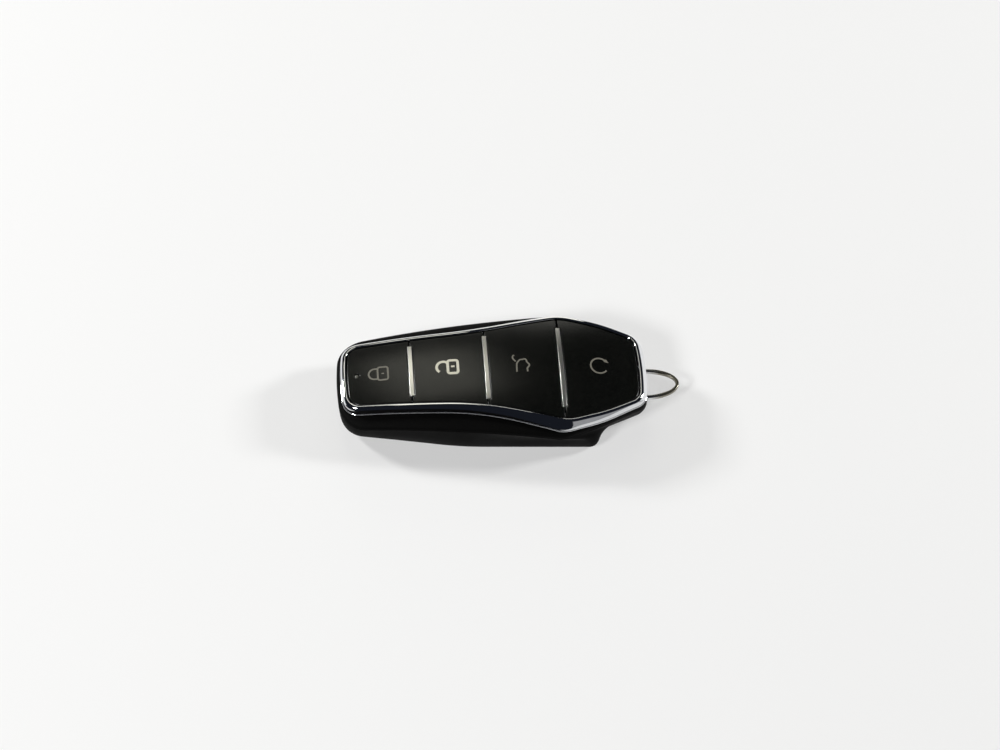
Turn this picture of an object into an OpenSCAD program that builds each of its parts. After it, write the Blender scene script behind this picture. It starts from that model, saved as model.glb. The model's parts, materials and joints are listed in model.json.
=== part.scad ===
// Car key fob: four sprung keys in a chrome frame, a black two-part housing with a coin cell
// and a circuit board inside, and an emergency key whose chrome head is the key-ring loop.
// Lengths are in millimetres. The model is laid out from the housing's plain end (x = 0)
// to the loop's tip, and place() then centres it over the middle of its length.

/* [Key face] */
// Height of the key face's crest above the table
crest_h = 15.5; // [15:0.1:17]
// Radius of the face's arch along the body
arch_r = 206; // [180:1:300]
// Radius of the face's crown across the body
crown_r = 67; // [60:1:90]
// Distance of the arch's crest from the plain end
crest_at = 38.5; // [36:0.5:41]
// Where the corners of the face's plain end lie
face_start = 2.78; // [2.6:0.02:3]
// Where the corners of the face's loop end lie
face_end = 74.02; // [73.6:0.02:74.4]
// Half width of the key face at its plain end
face_end_hw = 8.25; // [8:0.05:8.6]
// Where the face starts to flare
waist_at = 34; // [31:0.5:36]
// Half width of the face at the start of the flare
waist_hw = 10.1; // [9.9:0.05:10.5]
// Where the face is widest
hip_at = 55.8; // [55:0.1:57]
// Half width of the face's corner at the hip
hip_hw = 14.9; // [14.5:0.05:15.3]
// Half width of the face between hip and loop end
flank_hw = 12.35; // [12:0.05:12.6]
// Half width of the key face at its loop end
nose_hw = 8.6; // [8.3:0.05:8.9]

/* [Chrome frame] */
// Width of the rounded lip round the keys
lip_w = 1.15; // [1:0.05:1.3]
// How far the lip stands above the keys
lip_rise = 0.3; // [0.1:0.05:0.4]
// Height of the frame below the key face
frame_h = 2.3; // [2.2:0.05:2.5]
// How far the frame's foot flares beyond the lip at the hip
foot_flare = 1.1; // [0.8:0.05:1.3]

/* [Keys] */
// Thickness of a key cap
cap_t = 1.5; // [1.2:0.05:1.5]
// Travel of a key
key_travel = 0.5; // [0.3:0.05:0.55]
// Gap between the keys and the chrome frame
key_gap = 0.25; // [0.2:0.05:0.4]
// Gap between neighbouring keys
split_gap = 0.3; // [0.2:0.05:0.5]
// Diameter of the post that works the switch
post_d = 3.6; // [3:0.1:4]
// Diameter of a key's guide pegs
peg_d = 1.8; // [1.6:0.1:2]
// Radial clearance of posts and pegs in their holes
guide_gap = 0.3; // [0.2:0.05:0.4]
// Diameter of the indicator's light pipe
pipe_d = 1.2; // [1:0.1:1.4]

/* [Divider strips] */
// Where the first divider lies
first_divider = 18.1; // [17.8:0.1:18.4]
// Distance from divider to divider
divider_pitch = 18.53; // [18.2:0.05:18.8]
// Width of a divider strip
bar_w = 1.05; // [0.7:0.05:1.1]
// How far a strip stands above the keys
bar_rise = 0.1; // [0:0.05:0.2]

/* [Housing] */
// Depth of the parting line below the face
belt_d = 3.5; // [3.4:0.05:3.8]
// How far the housing's plain end reaches beyond the cell on each side
end_wall = 2.3; // [2.2:0.05:2.8]
// Half width of the housing at mid length
belt_mid_hw = 15.5; // [15.3:0.05:15.8]
// How far the housing bulges out under the frame at the hip
belt_bulge = 0.9; // [0.7:0.05:1.1]
// Radius of the housing's plain end corners
belt_corner_r = 7.5; // [6:0.1:8]
// Where the back cover ends
cover_end = 54; // [53:0.1:54.4]
// Fit of the seal, the cover and the tray in their seats
fit = 0.15; // [0.1:0.05:0.25]

/* [Cell and board] */
// Diameter of the coin cell
cell_d = 20; // [19.8:0.1:20]
// Thickness of the coin cell
cell_t = 3.2; // [2.5:0.1:3.2]
// Where the coin cell's centre lies
cell_at = 14.3; // [14.1:0.1:14.5]
// Room between the cell and the board
cell_gap = 0.6; // [0.5:0.05:0.7]
// Height of the face's crest above the board's underside
key_stack = 9.5; // [9.4:0.05:9.6]
// Thickness of the board
board_t = 1; // [0.8:0.1:1]
// Height of a switch
switch_h = 1.4; // [1.2:0.1:1.5]
// Length of the board screws
screw_len = 3.4; // [3:0.1:3.6]

/* [Emergency key] */
// Depth of the blade's middle below the board
blade_drop = 2.1; // [2.05:0.05:2.2]
// Width of the blade
blade_w = 7; // [6:0.1:7]
// Thickness of the blade
blade_t = 2; // [1.6:0.1:2]
// Distance of the blade's tip from the coin cell
tip_gap = 1.6; // [1.5:0.1:3.5]
// Width of the key's head
head_w = 10; // [9.6:0.1:10.2]
// Thickness of the key's head
head_t = 2.6; // [2.4:0.1:2.7]
// How far the loop stands out of the chrome frame
loop_out = 8.8; // [8.6:0.1:10]
// Width of the loop at its root
loop_w = 8.8; // [8.4:0.1:9.4]
// Thickness of the loop's bar
loop_t = 1.2; // [1:0.05:1.6]
// Width of the loop's bar at its root
loop_bar = 1.05; // [0.9:0.05:1.1]
// Width of the loop's bar at its tip
loop_tip_bar = 0.85; // [0.6:0.05:1]
// Sliding clearance round the key
slide_gap = 0.2; // [0.15:0.05:0.25]
// Travel of the release slider
release_travel = 1.3; // [1.2:0.05:1.35]

/* [Hidden] */
$fn = 64;

black = [0.06, 0.06, 0.065];
chrome = [0.82, 0.83, 0.85];
steel = [0.7, 0.71, 0.72];
rubber = [0.16, 0.16, 0.17];
board_green = [0.08, 0.3, 0.16];
chip_black = [0.1, 0.1, 0.11];
tray_grey = [0.25, 0.26, 0.27];
brass = [0.75, 0.62, 0.3];

// Outline helpers. An outline's half is a list of corners [x, y, radius] from the plain end
// to the loop end; both ends are bowed across the middle line, and the half is mirrored.
arc_steps = 5;
line_steps = 4;
end_steps = 2;
end_angle = 5;
function unit(v) = v / norm(v);
function spot(c, i) = [c[i][0], c[i][1]];
function way_in(c, i) = i == 0 ? [sin(end_angle), cos(end_angle)] : unit(spot(c, i) - spot(c, i - 1));
function way_out(c, i) =
  i == len(c) - 1 ? [sin(end_angle), -cos(end_angle)] : unit(spot(c, i + 1) - spot(c, i));
function right_of(u) = [u[1], -u[0]];
function bend(u, w) = u[0] * w[1] - u[1] * w[0] < 0 ? 1 : -1;
function turned(v, a) = [v[0] * cos(a) - v[1] * sin(a), v[0] * sin(a) + v[1] * cos(a)];
least_r = 0.3;
function inset(c, d) = [
  for (i = [0 : len(c) - 1])
    let (u = way_in(c, i), w = way_out(c, i), a = right_of(u), b = right_of(w))
    let (p = spot(c, i) + d * (a + b) / (1 + a * b))
    [p[0], p[1], max(c[i][2] - bend(u, w) * d, least_r)]
];
function between(a, b, t) = [for (i = [0 : len(a) - 1]) a[i] + (b[i] - a[i]) * t];
function moved(c, d) = [for (i = [0 : len(c) - 1]) c[i] + d[i]];
function corner_arc(c, i) =
  let (u = way_in(c, i), w = way_out(c, i), s = bend(u, w), r = c[i][2])
  let (half = acos(min(1, u * w)) / 2, start = spot(c, i) - u * r * tan(half))
  let (centre = start + s * r * right_of(u))
  [for (k = [0 : arc_steps]) centre + turned(start - centre, -s * 2 * half * k / arc_steps)];
function run(p, q) = [for (k = [1 : line_steps - 1]) p + (q - p) * k / line_steps];
// Point k of a bowed end whose corner starts at p; way is -1 at the plain end and 1 at the other
function end_point(p, way, k) =
  let (r = p[1] / sin(end_angle), a = end_angle * (k + 0.5) / end_steps)
  [p[0] + way * r * (cos(a) - cos(end_angle)), r * sin(a)];
function half_outline(c) =
  let (last = len(c) - 1)
  concat(
    [for (k = [0 : end_steps - 1]) end_point(corner_arc(c, 0)[0], -1, k)],
    [
      for (i = [0 : last])
        each concat(
          corner_arc(c, i),
          i < last ? run(corner_arc(c, i)[arc_steps], corner_arc(c, i + 1)[0]) : []
        )
    ],
    [for (k = [end_steps - 1 : -1 : 0]) end_point(corner_arc(c, last)[arc_steps], 1, k)]
  );
function end_x(c) = let (h = half_outline(c)) h[len(h) - 1][0];
function outline(c) =
  let (h = half_outline(c))
  concat(h, [for (i = [len(h) - 1 : -1 : 0]) [h[i][0], -h[i][1]]]);

// The key face is part of a barrel: an arch along the body and a crown across it
function face_z(x, y) =
  crest_h - arch_r
  + sqrt(pow(arch_r - crown_r + sqrt(crown_r * crown_r - y * y), 2) - pow(x - crest_at, 2));
function on_face(c, d) = [for (p = outline(c)) [p[0], p[1], face_z(p[0], p[1]) - d]];
function at_height(c, z) = [for (p = outline(c)) [p[0], p[1], z]];

// Heights, all hung from the face's crest: board, floor under the cell, back cover and key
board_z = crest_h - key_stack;
floor_h = board_z - cell_gap - cell_t;
cover_t = (floor_h - fit) / 2;
key_z = board_z - blade_drop;

// Outlines of the face, the frame and the housing
face_r = [3.2, 100, 11, 40, 3.4];
flank_run = 9.7;
face = [
  [face_start, face_end_hw, face_r[0]],
  [waist_at, waist_hw, face_r[1]],
  [hip_at, hip_hw, face_r[2]],
  [hip_at + flank_run, flank_hw, face_r[3]],
  [face_end, nose_hw, face_r[4]]
];
lip = inset(face, -lip_w);
foot_shift = [[-0.1, -0.2, 0], [1, 0.4, 0], [-1.1, foot_flare, -5], [-1, 0.8, 0], [1, -0.7, 0]];
foot = moved(lip, foot_shift);
frame_end = end_x(foot);
belt_mid_at = 30;
belt_out = 0.15;
belt_r = [200, 8];
belt_start = 0.79;
belt_end_hw = cell_d / 2 + end_wall;
hip_belt_hw = foot[2][1] + belt_bulge;
belt = [
  [belt_start, belt_end_hw, belt_corner_r],
  [belt_mid_at, belt_mid_hw, belt_r[0]],
  [foot[2][0], hip_belt_hw, belt_r[1]],
  inset(foot, -belt_out)[3],
  inset(foot, -belt_out)[4]
];
plain_end = half_outline(belt)[0][0];
tail_end = belt[4][0];
tail_face = end_x(belt);

// The rear housing narrows below its belt, and its loop end steps in to a tail round the key.
// A ring is given by its plain end [start, narrowing, radius], middle [narrowing, radius],
// hip corner [run past the hip, narrowing, radius], knee [run past the hip, half width beyond
// the tail, radius] and tail [setback, half width beyond the tail, radius].
wall_z = board_z;
bilge_share = 0.4;
bilge_z = cover_t + (wall_z - cover_t) * bilge_share;
tail_wall = 2.2;
tail_hw = head_w / 2 + tail_wall;
function hull_ring(end, mid, hip, knee, tail) = [
  [end[0], belt_end_hw - end[1], end[2]],
  [belt_mid_at, belt_mid_hw - mid[0], mid[1]],
  [hip_at + hip[0], hip_belt_hw - hip[1], hip[2]],
  [hip_at + knee[0], tail_hw + knee[1], knee[2]],
  [tail_end - tail[0], tail_hw + tail[1], tail[2]]
];
wall_ring = hull_ring([1, 0.4, 6.4], [0.2, 150], [5.7, 1.5, 5], [11, 5.2, 10], [0, 1, 3]);
bilge_ring = hull_ring([1.5, 1.5, 5.6], [0.6, 120], [7.8, 1.9, 2.2], [9.4, 4.4, 4], [0.2, 0, 3]);
chine_ring = hull_ring([2.6, 2.8, 5], [1.3, 90], [7.6, 2.5, 2], [9, 3.4, 4], [0.9, -1, 2.5]);
base_ring = hull_ring([3.9, 4.1, 4.2], [2.6, 60], [6.8, 3.8, 2], [8, 2.2, 3], [5, -2, 2]);

// Cavities of the rear housing, and the opening that the back cover closes
cavity_start = 3;
cavity_past_hip = 0.2;
cavity_end = hip_at + cavity_past_hip;
side_wall = [3.1, 2.2, 1.65];
cavity_r = [4.6, 200, 2];
cavity = [
  [cavity_start, belt_end_hw - side_wall[0], cavity_r[0]],
  [belt_mid_at, belt_mid_hw - side_wall[1], cavity_r[1]],
  [cavity_end, belt_mid_hw - side_wall[2], cavity_r[2]]
];
board_gap = 0.05;
bow_hw = 13.2;
bow_run = [-6, 1, 8];
bow_taper = 2.6;
bow_wall = 4.7;
bow_cavity = [
  [cavity_end + bow_run[0], bow_hw, 0.5],
  [cavity_end + bow_run[1], bow_hw, 1],
  [cavity_end + bow_run[2], bow_hw - bow_taper, 3],
  [tail_end - bow_wall, tail_hw, 1]
];
ledge_w = 0.7;
cover_lap = 1.5;
opening_end = cover_end - cover_lap;
opening = [
  [cavity[0][0] + ledge_w, cavity[0][1] - ledge_w, cavity[0][2] - ledge_w],
  [belt_mid_at, cavity[1][1] - ledge_w, cavity[1][2]],
  [opening_end, cavity[1][1] - ledge_w / 2, cavity[2][2]]
];
rim_w = 1.2;
rim_gap = 0.25;
pad_d = 9;

// Keys, switches and board
divider_x = [for (i = [0 : 2]) first_divider + i * divider_pitch];
bar_half = [7.2, 9.1, 11.5];
bar_gap = 0.12;
key_mid = [-8, 8.9, 8.75, 9.45];
key_x = [
  divider_x[0] + key_mid[0], divider_x[0] + key_mid[1],
  divider_x[1] + key_mid[2], divider_x[2] + key_mid[3]
];
peg_y = [5.6, 6.5, 8, 8];
far_off = 200;
key_from = [-far_off, for (x = divider_x) x + split_gap / 2];
key_to = [for (x = divider_x) x - split_gap / 2, far_off];
keys = inset(face, key_gap);
lamp_at = 4.9;
seat_gap = 0.05;
carrier_t = 1;
carrier_top = frame_h + seat_gap;
hole_in = 0.4;
carrier_hole = inset(face, hole_in);
carrier = inset(carrier_hole, fit);
tab_x = [20.5, 42.5];
tab_len = 5;
tab_t = 0.7;
tab_gap = 0.3;
tab_root = [1.6, 0.3];
collar_w = 0.55;
collar_d = peg_d + 2 * collar_w;
collar_h = 0.5;
collar_gap = 0.35;
board_top = board_z + board_t;
switch_size = [3.9, 2.9];
plunger_d = 1.8;
plunger_out = 0.4;
plunger_len = 0.9;
plunger_gap = 0.1;
plunger_top = board_top + switch_h + plunger_out;
mat_t = 0.5;
mat_z = plunger_top + seat_gap;
mat_hw = 3.4;
mat_end = 3.5;
bump_h = 0.35;
bump_step = 0.2;
bump_d = post_d - 2 * bump_step;
post_z = mat_z + mat_t + bump_h + seat_gap;
board_hw = [6.6, 9.6, 11.2, 9.6];
board_edge = 0.6;
board = [
  [cavity_start + board_edge, board_hw[0], 3],
  [belt_mid_at, board_hw[1], 100],
  [cavity_end, board_hw[2], 4],
  [cavity_end + bow_run[2], board_hw[3], 20],
  [tail_end - bow_wall - 1, tail_hw - board_edge / 2, 1.5]
];
screw_y = [8.2, 9];
screw_back = 3;
screw_at = [[belt_mid_at, screw_y[0]], [cavity_end - screw_back, screw_y[1]]];
screw_d = 1.6;
screw_head_d = 2.6;
screw_head_h = 0.8;

// Emergency key and release slider
blade_tip = cell_at + cell_d / 2 + tip_gap;
head_start = end_x(cavity) + slide_gap;
tang_len = 9.7;
tang_end = head_start + tang_len;
eye_start = tail_face + seat_gap;
loop_tip = frame_end + loop_out;
loop_steps = 32;
notch_back = 2.9;
notch_at = head_start + notch_back;
notch_w = 2.4;
pawl_w = 2;
pawl_bite = 0.8;
pawl_gap = 0.3;
pad = [5, 4.4, 1.1];
pad_z = 0.3;
pad_inner_y = head_w / 2 + slide_gap;
stem_w = 3;
stem_depth = 3.1;
stem_gap = 0.3;
stem_y = head_w / 2 + stem_gap;
spring_wire = 0.35;
spring_d = 2.3;
spring_turns = 4;
spring_rings = 8;
spring_sides = 6;
spring_pocket_d = 2.9;
spring_room = 3.9;
spring_back_y = stem_y + stem_depth + spring_room;

// Shared shapes
module place() translate([-(plain_end + loop_tip) / 2, 0, 0]) children();

module prism(c, z0, z1) translate([0, 0, z0]) linear_extrude(z1 - z0) polygon(outline(c));

module ring_prism(outer, inner, z0, z1) {
  translate([0, 0, z0])
    linear_extrude(z1 - z0)
      difference() {
        polygon(outline(outer));
        polygon(outline(inner));
      }
}

// Everything under the key face lowered by d, as a wide block
block_deep = 12;
block_half = 21;
block_angle = 36;
module under_face(d) {
  translate([crest_at, 0, crest_h - d - arch_r])
    rotate([90, 0, 0])
      rotate([0, 0, 90 - block_angle / 2])
        rotate_extrude(angle = block_angle, $fn = 360)
          intersection() {
            translate([arch_r - crown_r, 0]) circle(r = crown_r, $fn = 180);
            translate([arch_r - block_deep, -block_half]) square([2 * block_deep, 2 * block_half]);
          }
}

// A layer that follows the key face from depth d0 down to depth d1
module layer(d0, d1) {
  difference() {
    under_face(d0);
    under_face(d1);
  }
}

// Closed solid through rings of equally many points, from the lowest to the highest
module stacked(rings) {
  n = len(rings[0]);
  h = n / 2;
  top = (len(rings) - 1) * n;
  sides = [
    for (r = [0 : len(rings) - 2], j = [0 : n - 1])
      let (a = r * n + j, b = r * n + (j + 1) % n)
      each [[a, b, b + n], [a, b + n, a + n]]
  ];
  lowest = [for (i = [0 : h - 2]) each [[i, n - 1 - i, n - 2 - i], [i, n - 2 - i, i + 1]]];
  highest = [for (f = lowest) [f[2] + top, f[1] + top, f[0] + top]];
  polyhedron(points = [for (r = rings) each r], faces = concat(sides, lowest, highest));
}

// Closed solid whose section, a loop of rings, runs right round the outline
module hoop(rings) {
  n = len(rings[0]);
  m = len(rings);
  sides = [
    for (r = [0 : m - 1], j = [0 : n - 1])
      let (k = (j + 1) % n, s = (r + 1) % m)
      each [[r * n + j, r * n + k, s * n + k], [r * n + j, s * n + k, s * n + j]]
  ];
  polyhedron(points = [for (r = rings) each r], faces = sides);
}

module peg(x, y, z0, z1, d) translate([x, y, z0]) cylinder(d = d, h = z1 - z0);

module box(x0, x1, y0, y1, z0, z1) translate([x0, y0, z0]) cube([x1 - x0, y1 - y0, z1 - z0]);

// Housing
mate_w = 4.4;
seal_in = 0.5;
seal_w = 0.6;
seal_h = 0.45;
seal_gap = 0.1;
seam = 0.1;
module rear_housing() {
  color(black) place() difference() {
    stacked([
      at_height(base_ring, 0),
      at_height(chine_ring, cover_t),
      at_height(bilge_ring, bilge_z),
      at_height(wall_ring, wall_z),
      on_face(belt, belt_d + seam),
      on_face(inset(belt, mate_w), belt_d + seam)
    ]);
    prism(cavity, floor_h, 2 * crest_h);
    prism(bow_cavity, board_z - board_gap, 2 * crest_h);
    box(-far_off, cover_end, -far_off, far_off, -1, cover_t + fit);
    prism(opening, 0, floor_h + 1);
    intersection() {
      layer(belt_d - 1, belt_d + seam + seal_h + fit);
      ring_prism(inset(belt, seal_in), inset(belt, seal_in + seal_w), 0, 2 * crest_h);
    }
    key_slot();
    release_slot();
  }
}

module key_slot() {
  w = head_w / 2 + slide_gap;
  t = head_t / 2 + slide_gap;
  box(cavity_end - 1, loop_tip, -w, w, key_z - t, key_z + t);
}

module release_slot() {
  x0 = notch_at - pad[0] / 2 - slide_gap;
  y1 = -pad_inner_y + slide_gap;
  box(x0, x0 + pad[0] + 2 * slide_gap, y1 - pad[1] - release_travel - 2 * slide_gap, y1,
    -1, pad_z + pad[2] + slide_gap);
  box(notch_at - stem_w / 2 - slide_gap, notch_at + stem_w / 2 + slide_gap,
    -stem_y - stem_depth - release_travel - slide_gap, -head_w / 2, pad_z, key_z + head_t / 2 + slide_gap);
  translate([notch_at, -stem_y - stem_depth, key_z])
    rotate([90, 0, 0])
      cylinder(d = spring_pocket_d, h = spring_back_y - stem_y - stem_depth + seat_gap);
}

frame_overhang = 0.25;
shoulder_out = 0.62;
shoulder_down = 0.3;
module front_housing() {
  top = inset(foot, frame_overhang);
  color(black) place() hoop([
    on_face(carrier_hole, belt_d),
    on_face(belt, belt_d),
    on_face(between(top, belt, shoulder_out), frame_h + (belt_d - frame_h) * shoulder_down),
    on_face(top, frame_h),
    on_face(carrier_hole, frame_h)
  ]);
}

module rim_seal() {
  color(rubber) place() intersection() {
    layer(belt_d + seam + seal_gap, belt_d + seam + seal_h);
    ring_prism(inset(belt, seal_in + fit / 2), inset(belt, seal_in + seal_w - fit / 2), 0, 2 * crest_h);
  }
}

// Back cover: the lowest slice of the housing, with a rim in the opening and a pad under the cell
module back_cover() {
  color(black) place() union() {
    intersection() {
      stacked([at_height(base_ring, 0), at_height(chine_ring, cover_t)]);
      box(-far_off, cover_end - fit, -far_off, far_off, -1, floor_h);
    }
    ring_prism(inset(opening, fit), inset(opening, fit + rim_w), cover_t / 2, floor_h - rim_gap);
    peg(cell_at, 0, cover_t / 2, floor_h - seat_gap, pad_d);
  }
}

// Chrome frame: inner wall, rounded lip and flared flank
edge_h = 0.35;
lip_inner = 0.1;
lip_crest = 0.45;
lip_shoulder = [0.8, 0.12];
shoulder_rise = 0.6;
module chrome_frame() {
  color(chrome) place() hoop([
    on_face(face, frame_h - seat_gap),
    on_face(foot, frame_h - seat_gap),
    on_face(foot, frame_h - edge_h),
    on_face(lip, lip_rise),
    on_face(inset(face, -lip_w * lip_shoulder[0]), -lip_rise * shoulder_rise),
    on_face(inset(face, -lip_w * lip_crest), -lip_rise),
    on_face(inset(face, -lip_w * lip_shoulder[1]), -lip_rise * shoulder_rise),
    on_face(face, lip_inner)
  ]);
}

// Key carrier: the plate under the keys, held under the front housing by four tabs
module key_carrier() {
  bottom = carrier_top + carrier_t;
  color(black) place() difference() {
    union() {
      intersection() {
        layer(carrier_top, bottom);
        prism(carrier, 0, 2 * crest_h);
      }
      for (x = tab_x, side = [-1, 1]) carrier_tab(x, side);
    }
    for (i = [0 : 3]) {
      peg(key_x[i], 0, 0, 2 * crest_h, post_d + 2 * guide_gap);
      for (s = [-1, 1]) peg(key_x[i], s * peg_y[i], 0, 2 * crest_h, peg_d + 2 * guide_gap);
    }
    peg(lamp_at, 0, 0, 2 * crest_h, pipe_d + 2 * seat_gap);
  }
}

// Half width of an outline's straight side at x
function side_hw(c, x) =
  let (i = x < c[1][0] ? 0 : 1)
  c[i][1] + (c[i + 1][1] - c[i][1]) * (x - c[i][0]) / (c[i + 1][0] - c[i][0]);

module carrier_tab(x, side) {
  inner = side_hw(carrier, x) - tab_root[0];
  knee = side_hw(carrier, x) - tab_root[1];
  outer = side_hw(cavity, x) - tab_gap;
  under = belt_d + 3 * seat_gap;
  mirror([0, side > 0 ? 0 : 1, 0]) {
    intersection() {
      layer(carrier_top + carrier_t / 2, under + tab_t);
      box(x, x + tab_len, inner, knee, 0, 2 * crest_h);
    }
    intersection() {
      layer(under, under + tab_t);
      box(x, x + tab_len, inner, outer, 0, 2 * crest_h);
    }
  }
}

// Keys
module key_cap(i) {
  x = key_x[i];
  cap_mid = face_z(x, 0) - cap_t / 2;
  color(black) place() difference() {
    union() {
      intersection() {
        layer(0, cap_t);
        linear_extrude(2 * crest_h) key_plan(i);
      }
      peg(x, 0, post_z, cap_mid, post_d);
      for (s = [-1, 1]) guide_peg(x, s * peg_y[i]);
    }
    if (i == 0) peg(lamp_at, 0, 0, 2 * crest_h, pipe_d + 2 * guide_gap);
  }
}

module key_plan(i) {
  difference() {
    intersection() {
      polygon(outline(keys));
      translate([key_from[i], -far_off]) square([key_to[i] - key_from[i], 2 * far_off]);
    }
    for (j = [0 : 2]) {
      w = bar_w / 2 + bar_gap;
      l = bar_half[j] + bar_gap;
      translate([divider_x[j] - w, -l]) square([2 * w, 2 * l]);
    }
  }
}

module guide_peg(x, y) {
  under = face_z(x, y) - carrier_top - carrier_t;
  collar_top = under - collar_gap;
  peg(x, y, collar_top - collar_h, face_z(x, y) - cap_t / 2, peg_d);
  peg(x, y, collar_top - collar_h, collar_top, collar_d);
}

module key_lock() key_cap(0);
module key_unlock() key_cap(1);
module key_boot() key_cap(2);
module key_start() key_cap(3);

module divider(i) {
  color(chrome) place() intersection() {
    layer(-bar_rise, carrier_top - seat_gap);
    box(divider_x[i] - bar_w / 2, divider_x[i] + bar_w / 2, -bar_half[i], bar_half[i], 0, 2 * crest_h);
  }
}

module divider_1() divider(0);
module divider_2() divider(1);
module divider_3() divider(2);

module key_mat() {
  color(rubber) place() {
    box(key_x[0] - mat_end, key_x[3] + mat_end, -mat_hw, mat_hw, mat_z, mat_z + mat_t);
    for (x = key_x) peg(x, 0, mat_z + mat_t / 2, mat_z + mat_t + bump_h, bump_d);
  }
}

// Board and what sits on it
module circuit_board() {
  color(board_green) place() difference() {
    prism(board, board_z, board_top);
    for (p = screw_at, s = [-1, 1]) peg(p[0], s * p[1], 0, 2 * crest_h, screw_d + 2 * fit);
  }
}

module switch_body(i) {
  bore_z = plunger_top - plunger_len - key_travel - plunger_gap;
  color(chip_black) place() difference() {
    box(key_x[i] - switch_size[0] / 2, key_x[i] + switch_size[0] / 2,
      -switch_size[1] / 2, switch_size[1] / 2, board_top, board_top + switch_h);
    peg(key_x[i], 0, bore_z, 2 * crest_h, plunger_d + 2 * fit);
  }
}

module plunger(i) {
  color(rubber) place() peg(key_x[i], 0, plunger_top - plunger_len, plunger_top, plunger_d);
}

module switch_lock() switch_body(0);
module switch_unlock() switch_body(1);
module switch_boot() switch_body(2);
module switch_start() switch_body(3);
module plunger_lock() plunger(0);
module plunger_unlock() plunger(1);
module plunger_boot() plunger(2);
module plunger_start() plunger(3);

lamp = [1.6, 0.8, 0.6];
module indicator_lamp() {
  color("white") place()
    box(lamp_at - lamp[0] / 2, lamp_at + lamp[0] / 2, -lamp[1] / 2, lamp[1] / 2,
      board_top, board_top + lamp[2]);
}

pipe_sunk = 0.15;
flange_t = 0.5;
flange_w = 0.5;
flange_d = pipe_d + 2 * flange_w;
flange_gap = 0.4;
module light_pipe() {
  under = face_z(lamp_at, 0) - carrier_top - carrier_t;
  top = face_z(lamp_at, 0) - pipe_sunk;
  color("white") place() union() {
    peg(lamp_at, 0, board_top + lamp[2] + seat_gap, top, pipe_d);
    peg(lamp_at, 0, under - flange_gap - flange_t, under - flange_gap, flange_d);
  }
}

module chip(x, size, tint) {
  color(tint) place()
    box(x - size[0] / 2, x + size[0] / 2, -size[1] / 2, size[1] / 2, board_top, board_top + size[2]);
}

control_size = [6, 6, 0.9];
radio_size = [4, 4, 0.8];
crystal_size = [3.2, 2.5, 0.7];
module control_chip() chip(divider_x[1], control_size, chip_black);
module radio_chip() chip(divider_x[0], radio_size, chip_black);
module crystal() chip(divider_x[2], crystal_size, steel);

coil = [9, 4, 2];
coil_flange = 0.8;
coil_gap = 1;
coil_step = 0.15;
coil_d = coil[2] - 2 * coil_step;
module receiver_coil() {
  x0 = divider_x[1] - coil[0] / 2;
  x1 = divider_x[1] + coil[0] / 2;
  y0 = mat_hw + coil_gap;
  y1 = y0 + coil[1];
  z1 = board_top + coil[2];
  color(brass) place() union() {
    box(x0, x0 + coil_flange, y0, y1, board_top, z1);
    box(x1 - coil_flange, x1, y0, y1, board_top, z1);
    translate([x0 + coil_flange / 2, (y0 + y1) / 2, board_top + coil[2] / 2])
      rotate([0, 90, 0])
        cylinder(d = coil_d, h = coil[0] - coil_flange);
  }
}

module board_screws() {
  color(steel) place()
    for (p = screw_at, s = [-1, 1]) {
      peg(p[0], s * p[1], board_top - screw_len, board_top + screw_head_h / 2, screw_d);
      peg(p[0], s * p[1], board_top, board_top + screw_head_h, screw_head_d);
    }
}

// Tray for cell, blade and board
pocket_back = 6;
pocket_x = [belt_mid_at + 2, cavity_end - pocket_back];
pocket_y = [5.6, 10.6];
pocket_floor = 1;
leaf_t = 0.25;
leaf_hw = 2.8;
leaf_side = 0.4;
leaf_slot_hw = leaf_hw + leaf_side;
leaf_gap = 0.15;
leaf_slot = 0.9;
module inner_tray() {
  w = blade_w / 2 + slide_gap;
  t = blade_t / 2 + slide_gap;
  cell_edge = cell_at + cell_d / 2;
  color(tray_grey) place() difference() {
    prism(inset(cavity, fit), floor_h, board_z);
    peg(cell_at, 0, 0, 2 * crest_h, cell_d + 2 * fit);
    box(blade_tip - slide_gap, cavity_end + 1, -w, w, key_z - t, key_z + t);
    box(cell_at, cell_edge + leaf_slot, -leaf_slot_hw, leaf_slot_hw, 0, 2 * crest_h);
    for (p = screw_at, s = [-1, 1])
      peg(p[0], s * p[1], board_top - screw_len - fit, 2 * crest_h, screw_d);
    for (s = [0, 1])
      mirror([0, s, 0])
        box(pocket_x[0], pocket_x[1], pocket_y[0], pocket_y[1], floor_h + pocket_floor, 2 * crest_h);
  }
}

can_rim = [1.2, 0.4];
module coin_cell() {
  color(steel) place() union() {
    peg(cell_at, 0, floor_h, floor_h + cell_t - can_rim[1], cell_d);
    peg(cell_at, 0, floor_h, floor_h + cell_t, cell_d - 2 * can_rim[0]);
  }
}

module cell_contact_plus() {
  x = cell_at + cell_d / 2 + leaf_gap;
  color(brass) place() box(x, x + leaf_t, -leaf_hw, leaf_hw, floor_h + leaf_t, board_z);
}

// The other contact: a strip under the board that bends down to the cell
strip_w = 4;
strip_x = [-6, -2, 4, 6];
module cell_contact_minus() {
  low = floor_h + cell_t;
  high = board_z - leaf_t;
  lower = [
    [cell_at + strip_x[3], low], [cell_at + strip_x[2], low],
    [cell_at + strip_x[1], high], [cell_at + strip_x[0], high]
  ];
  upper = [for (i = [3 : -1 : 0]) lower[i] + [0, leaf_t]];
  color(brass) place()
    translate([0, strip_w / 2, 0])
      rotate([90, 0, 0])
        linear_extrude(strip_w)
          polygon(concat(upper, lower));
}

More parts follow.
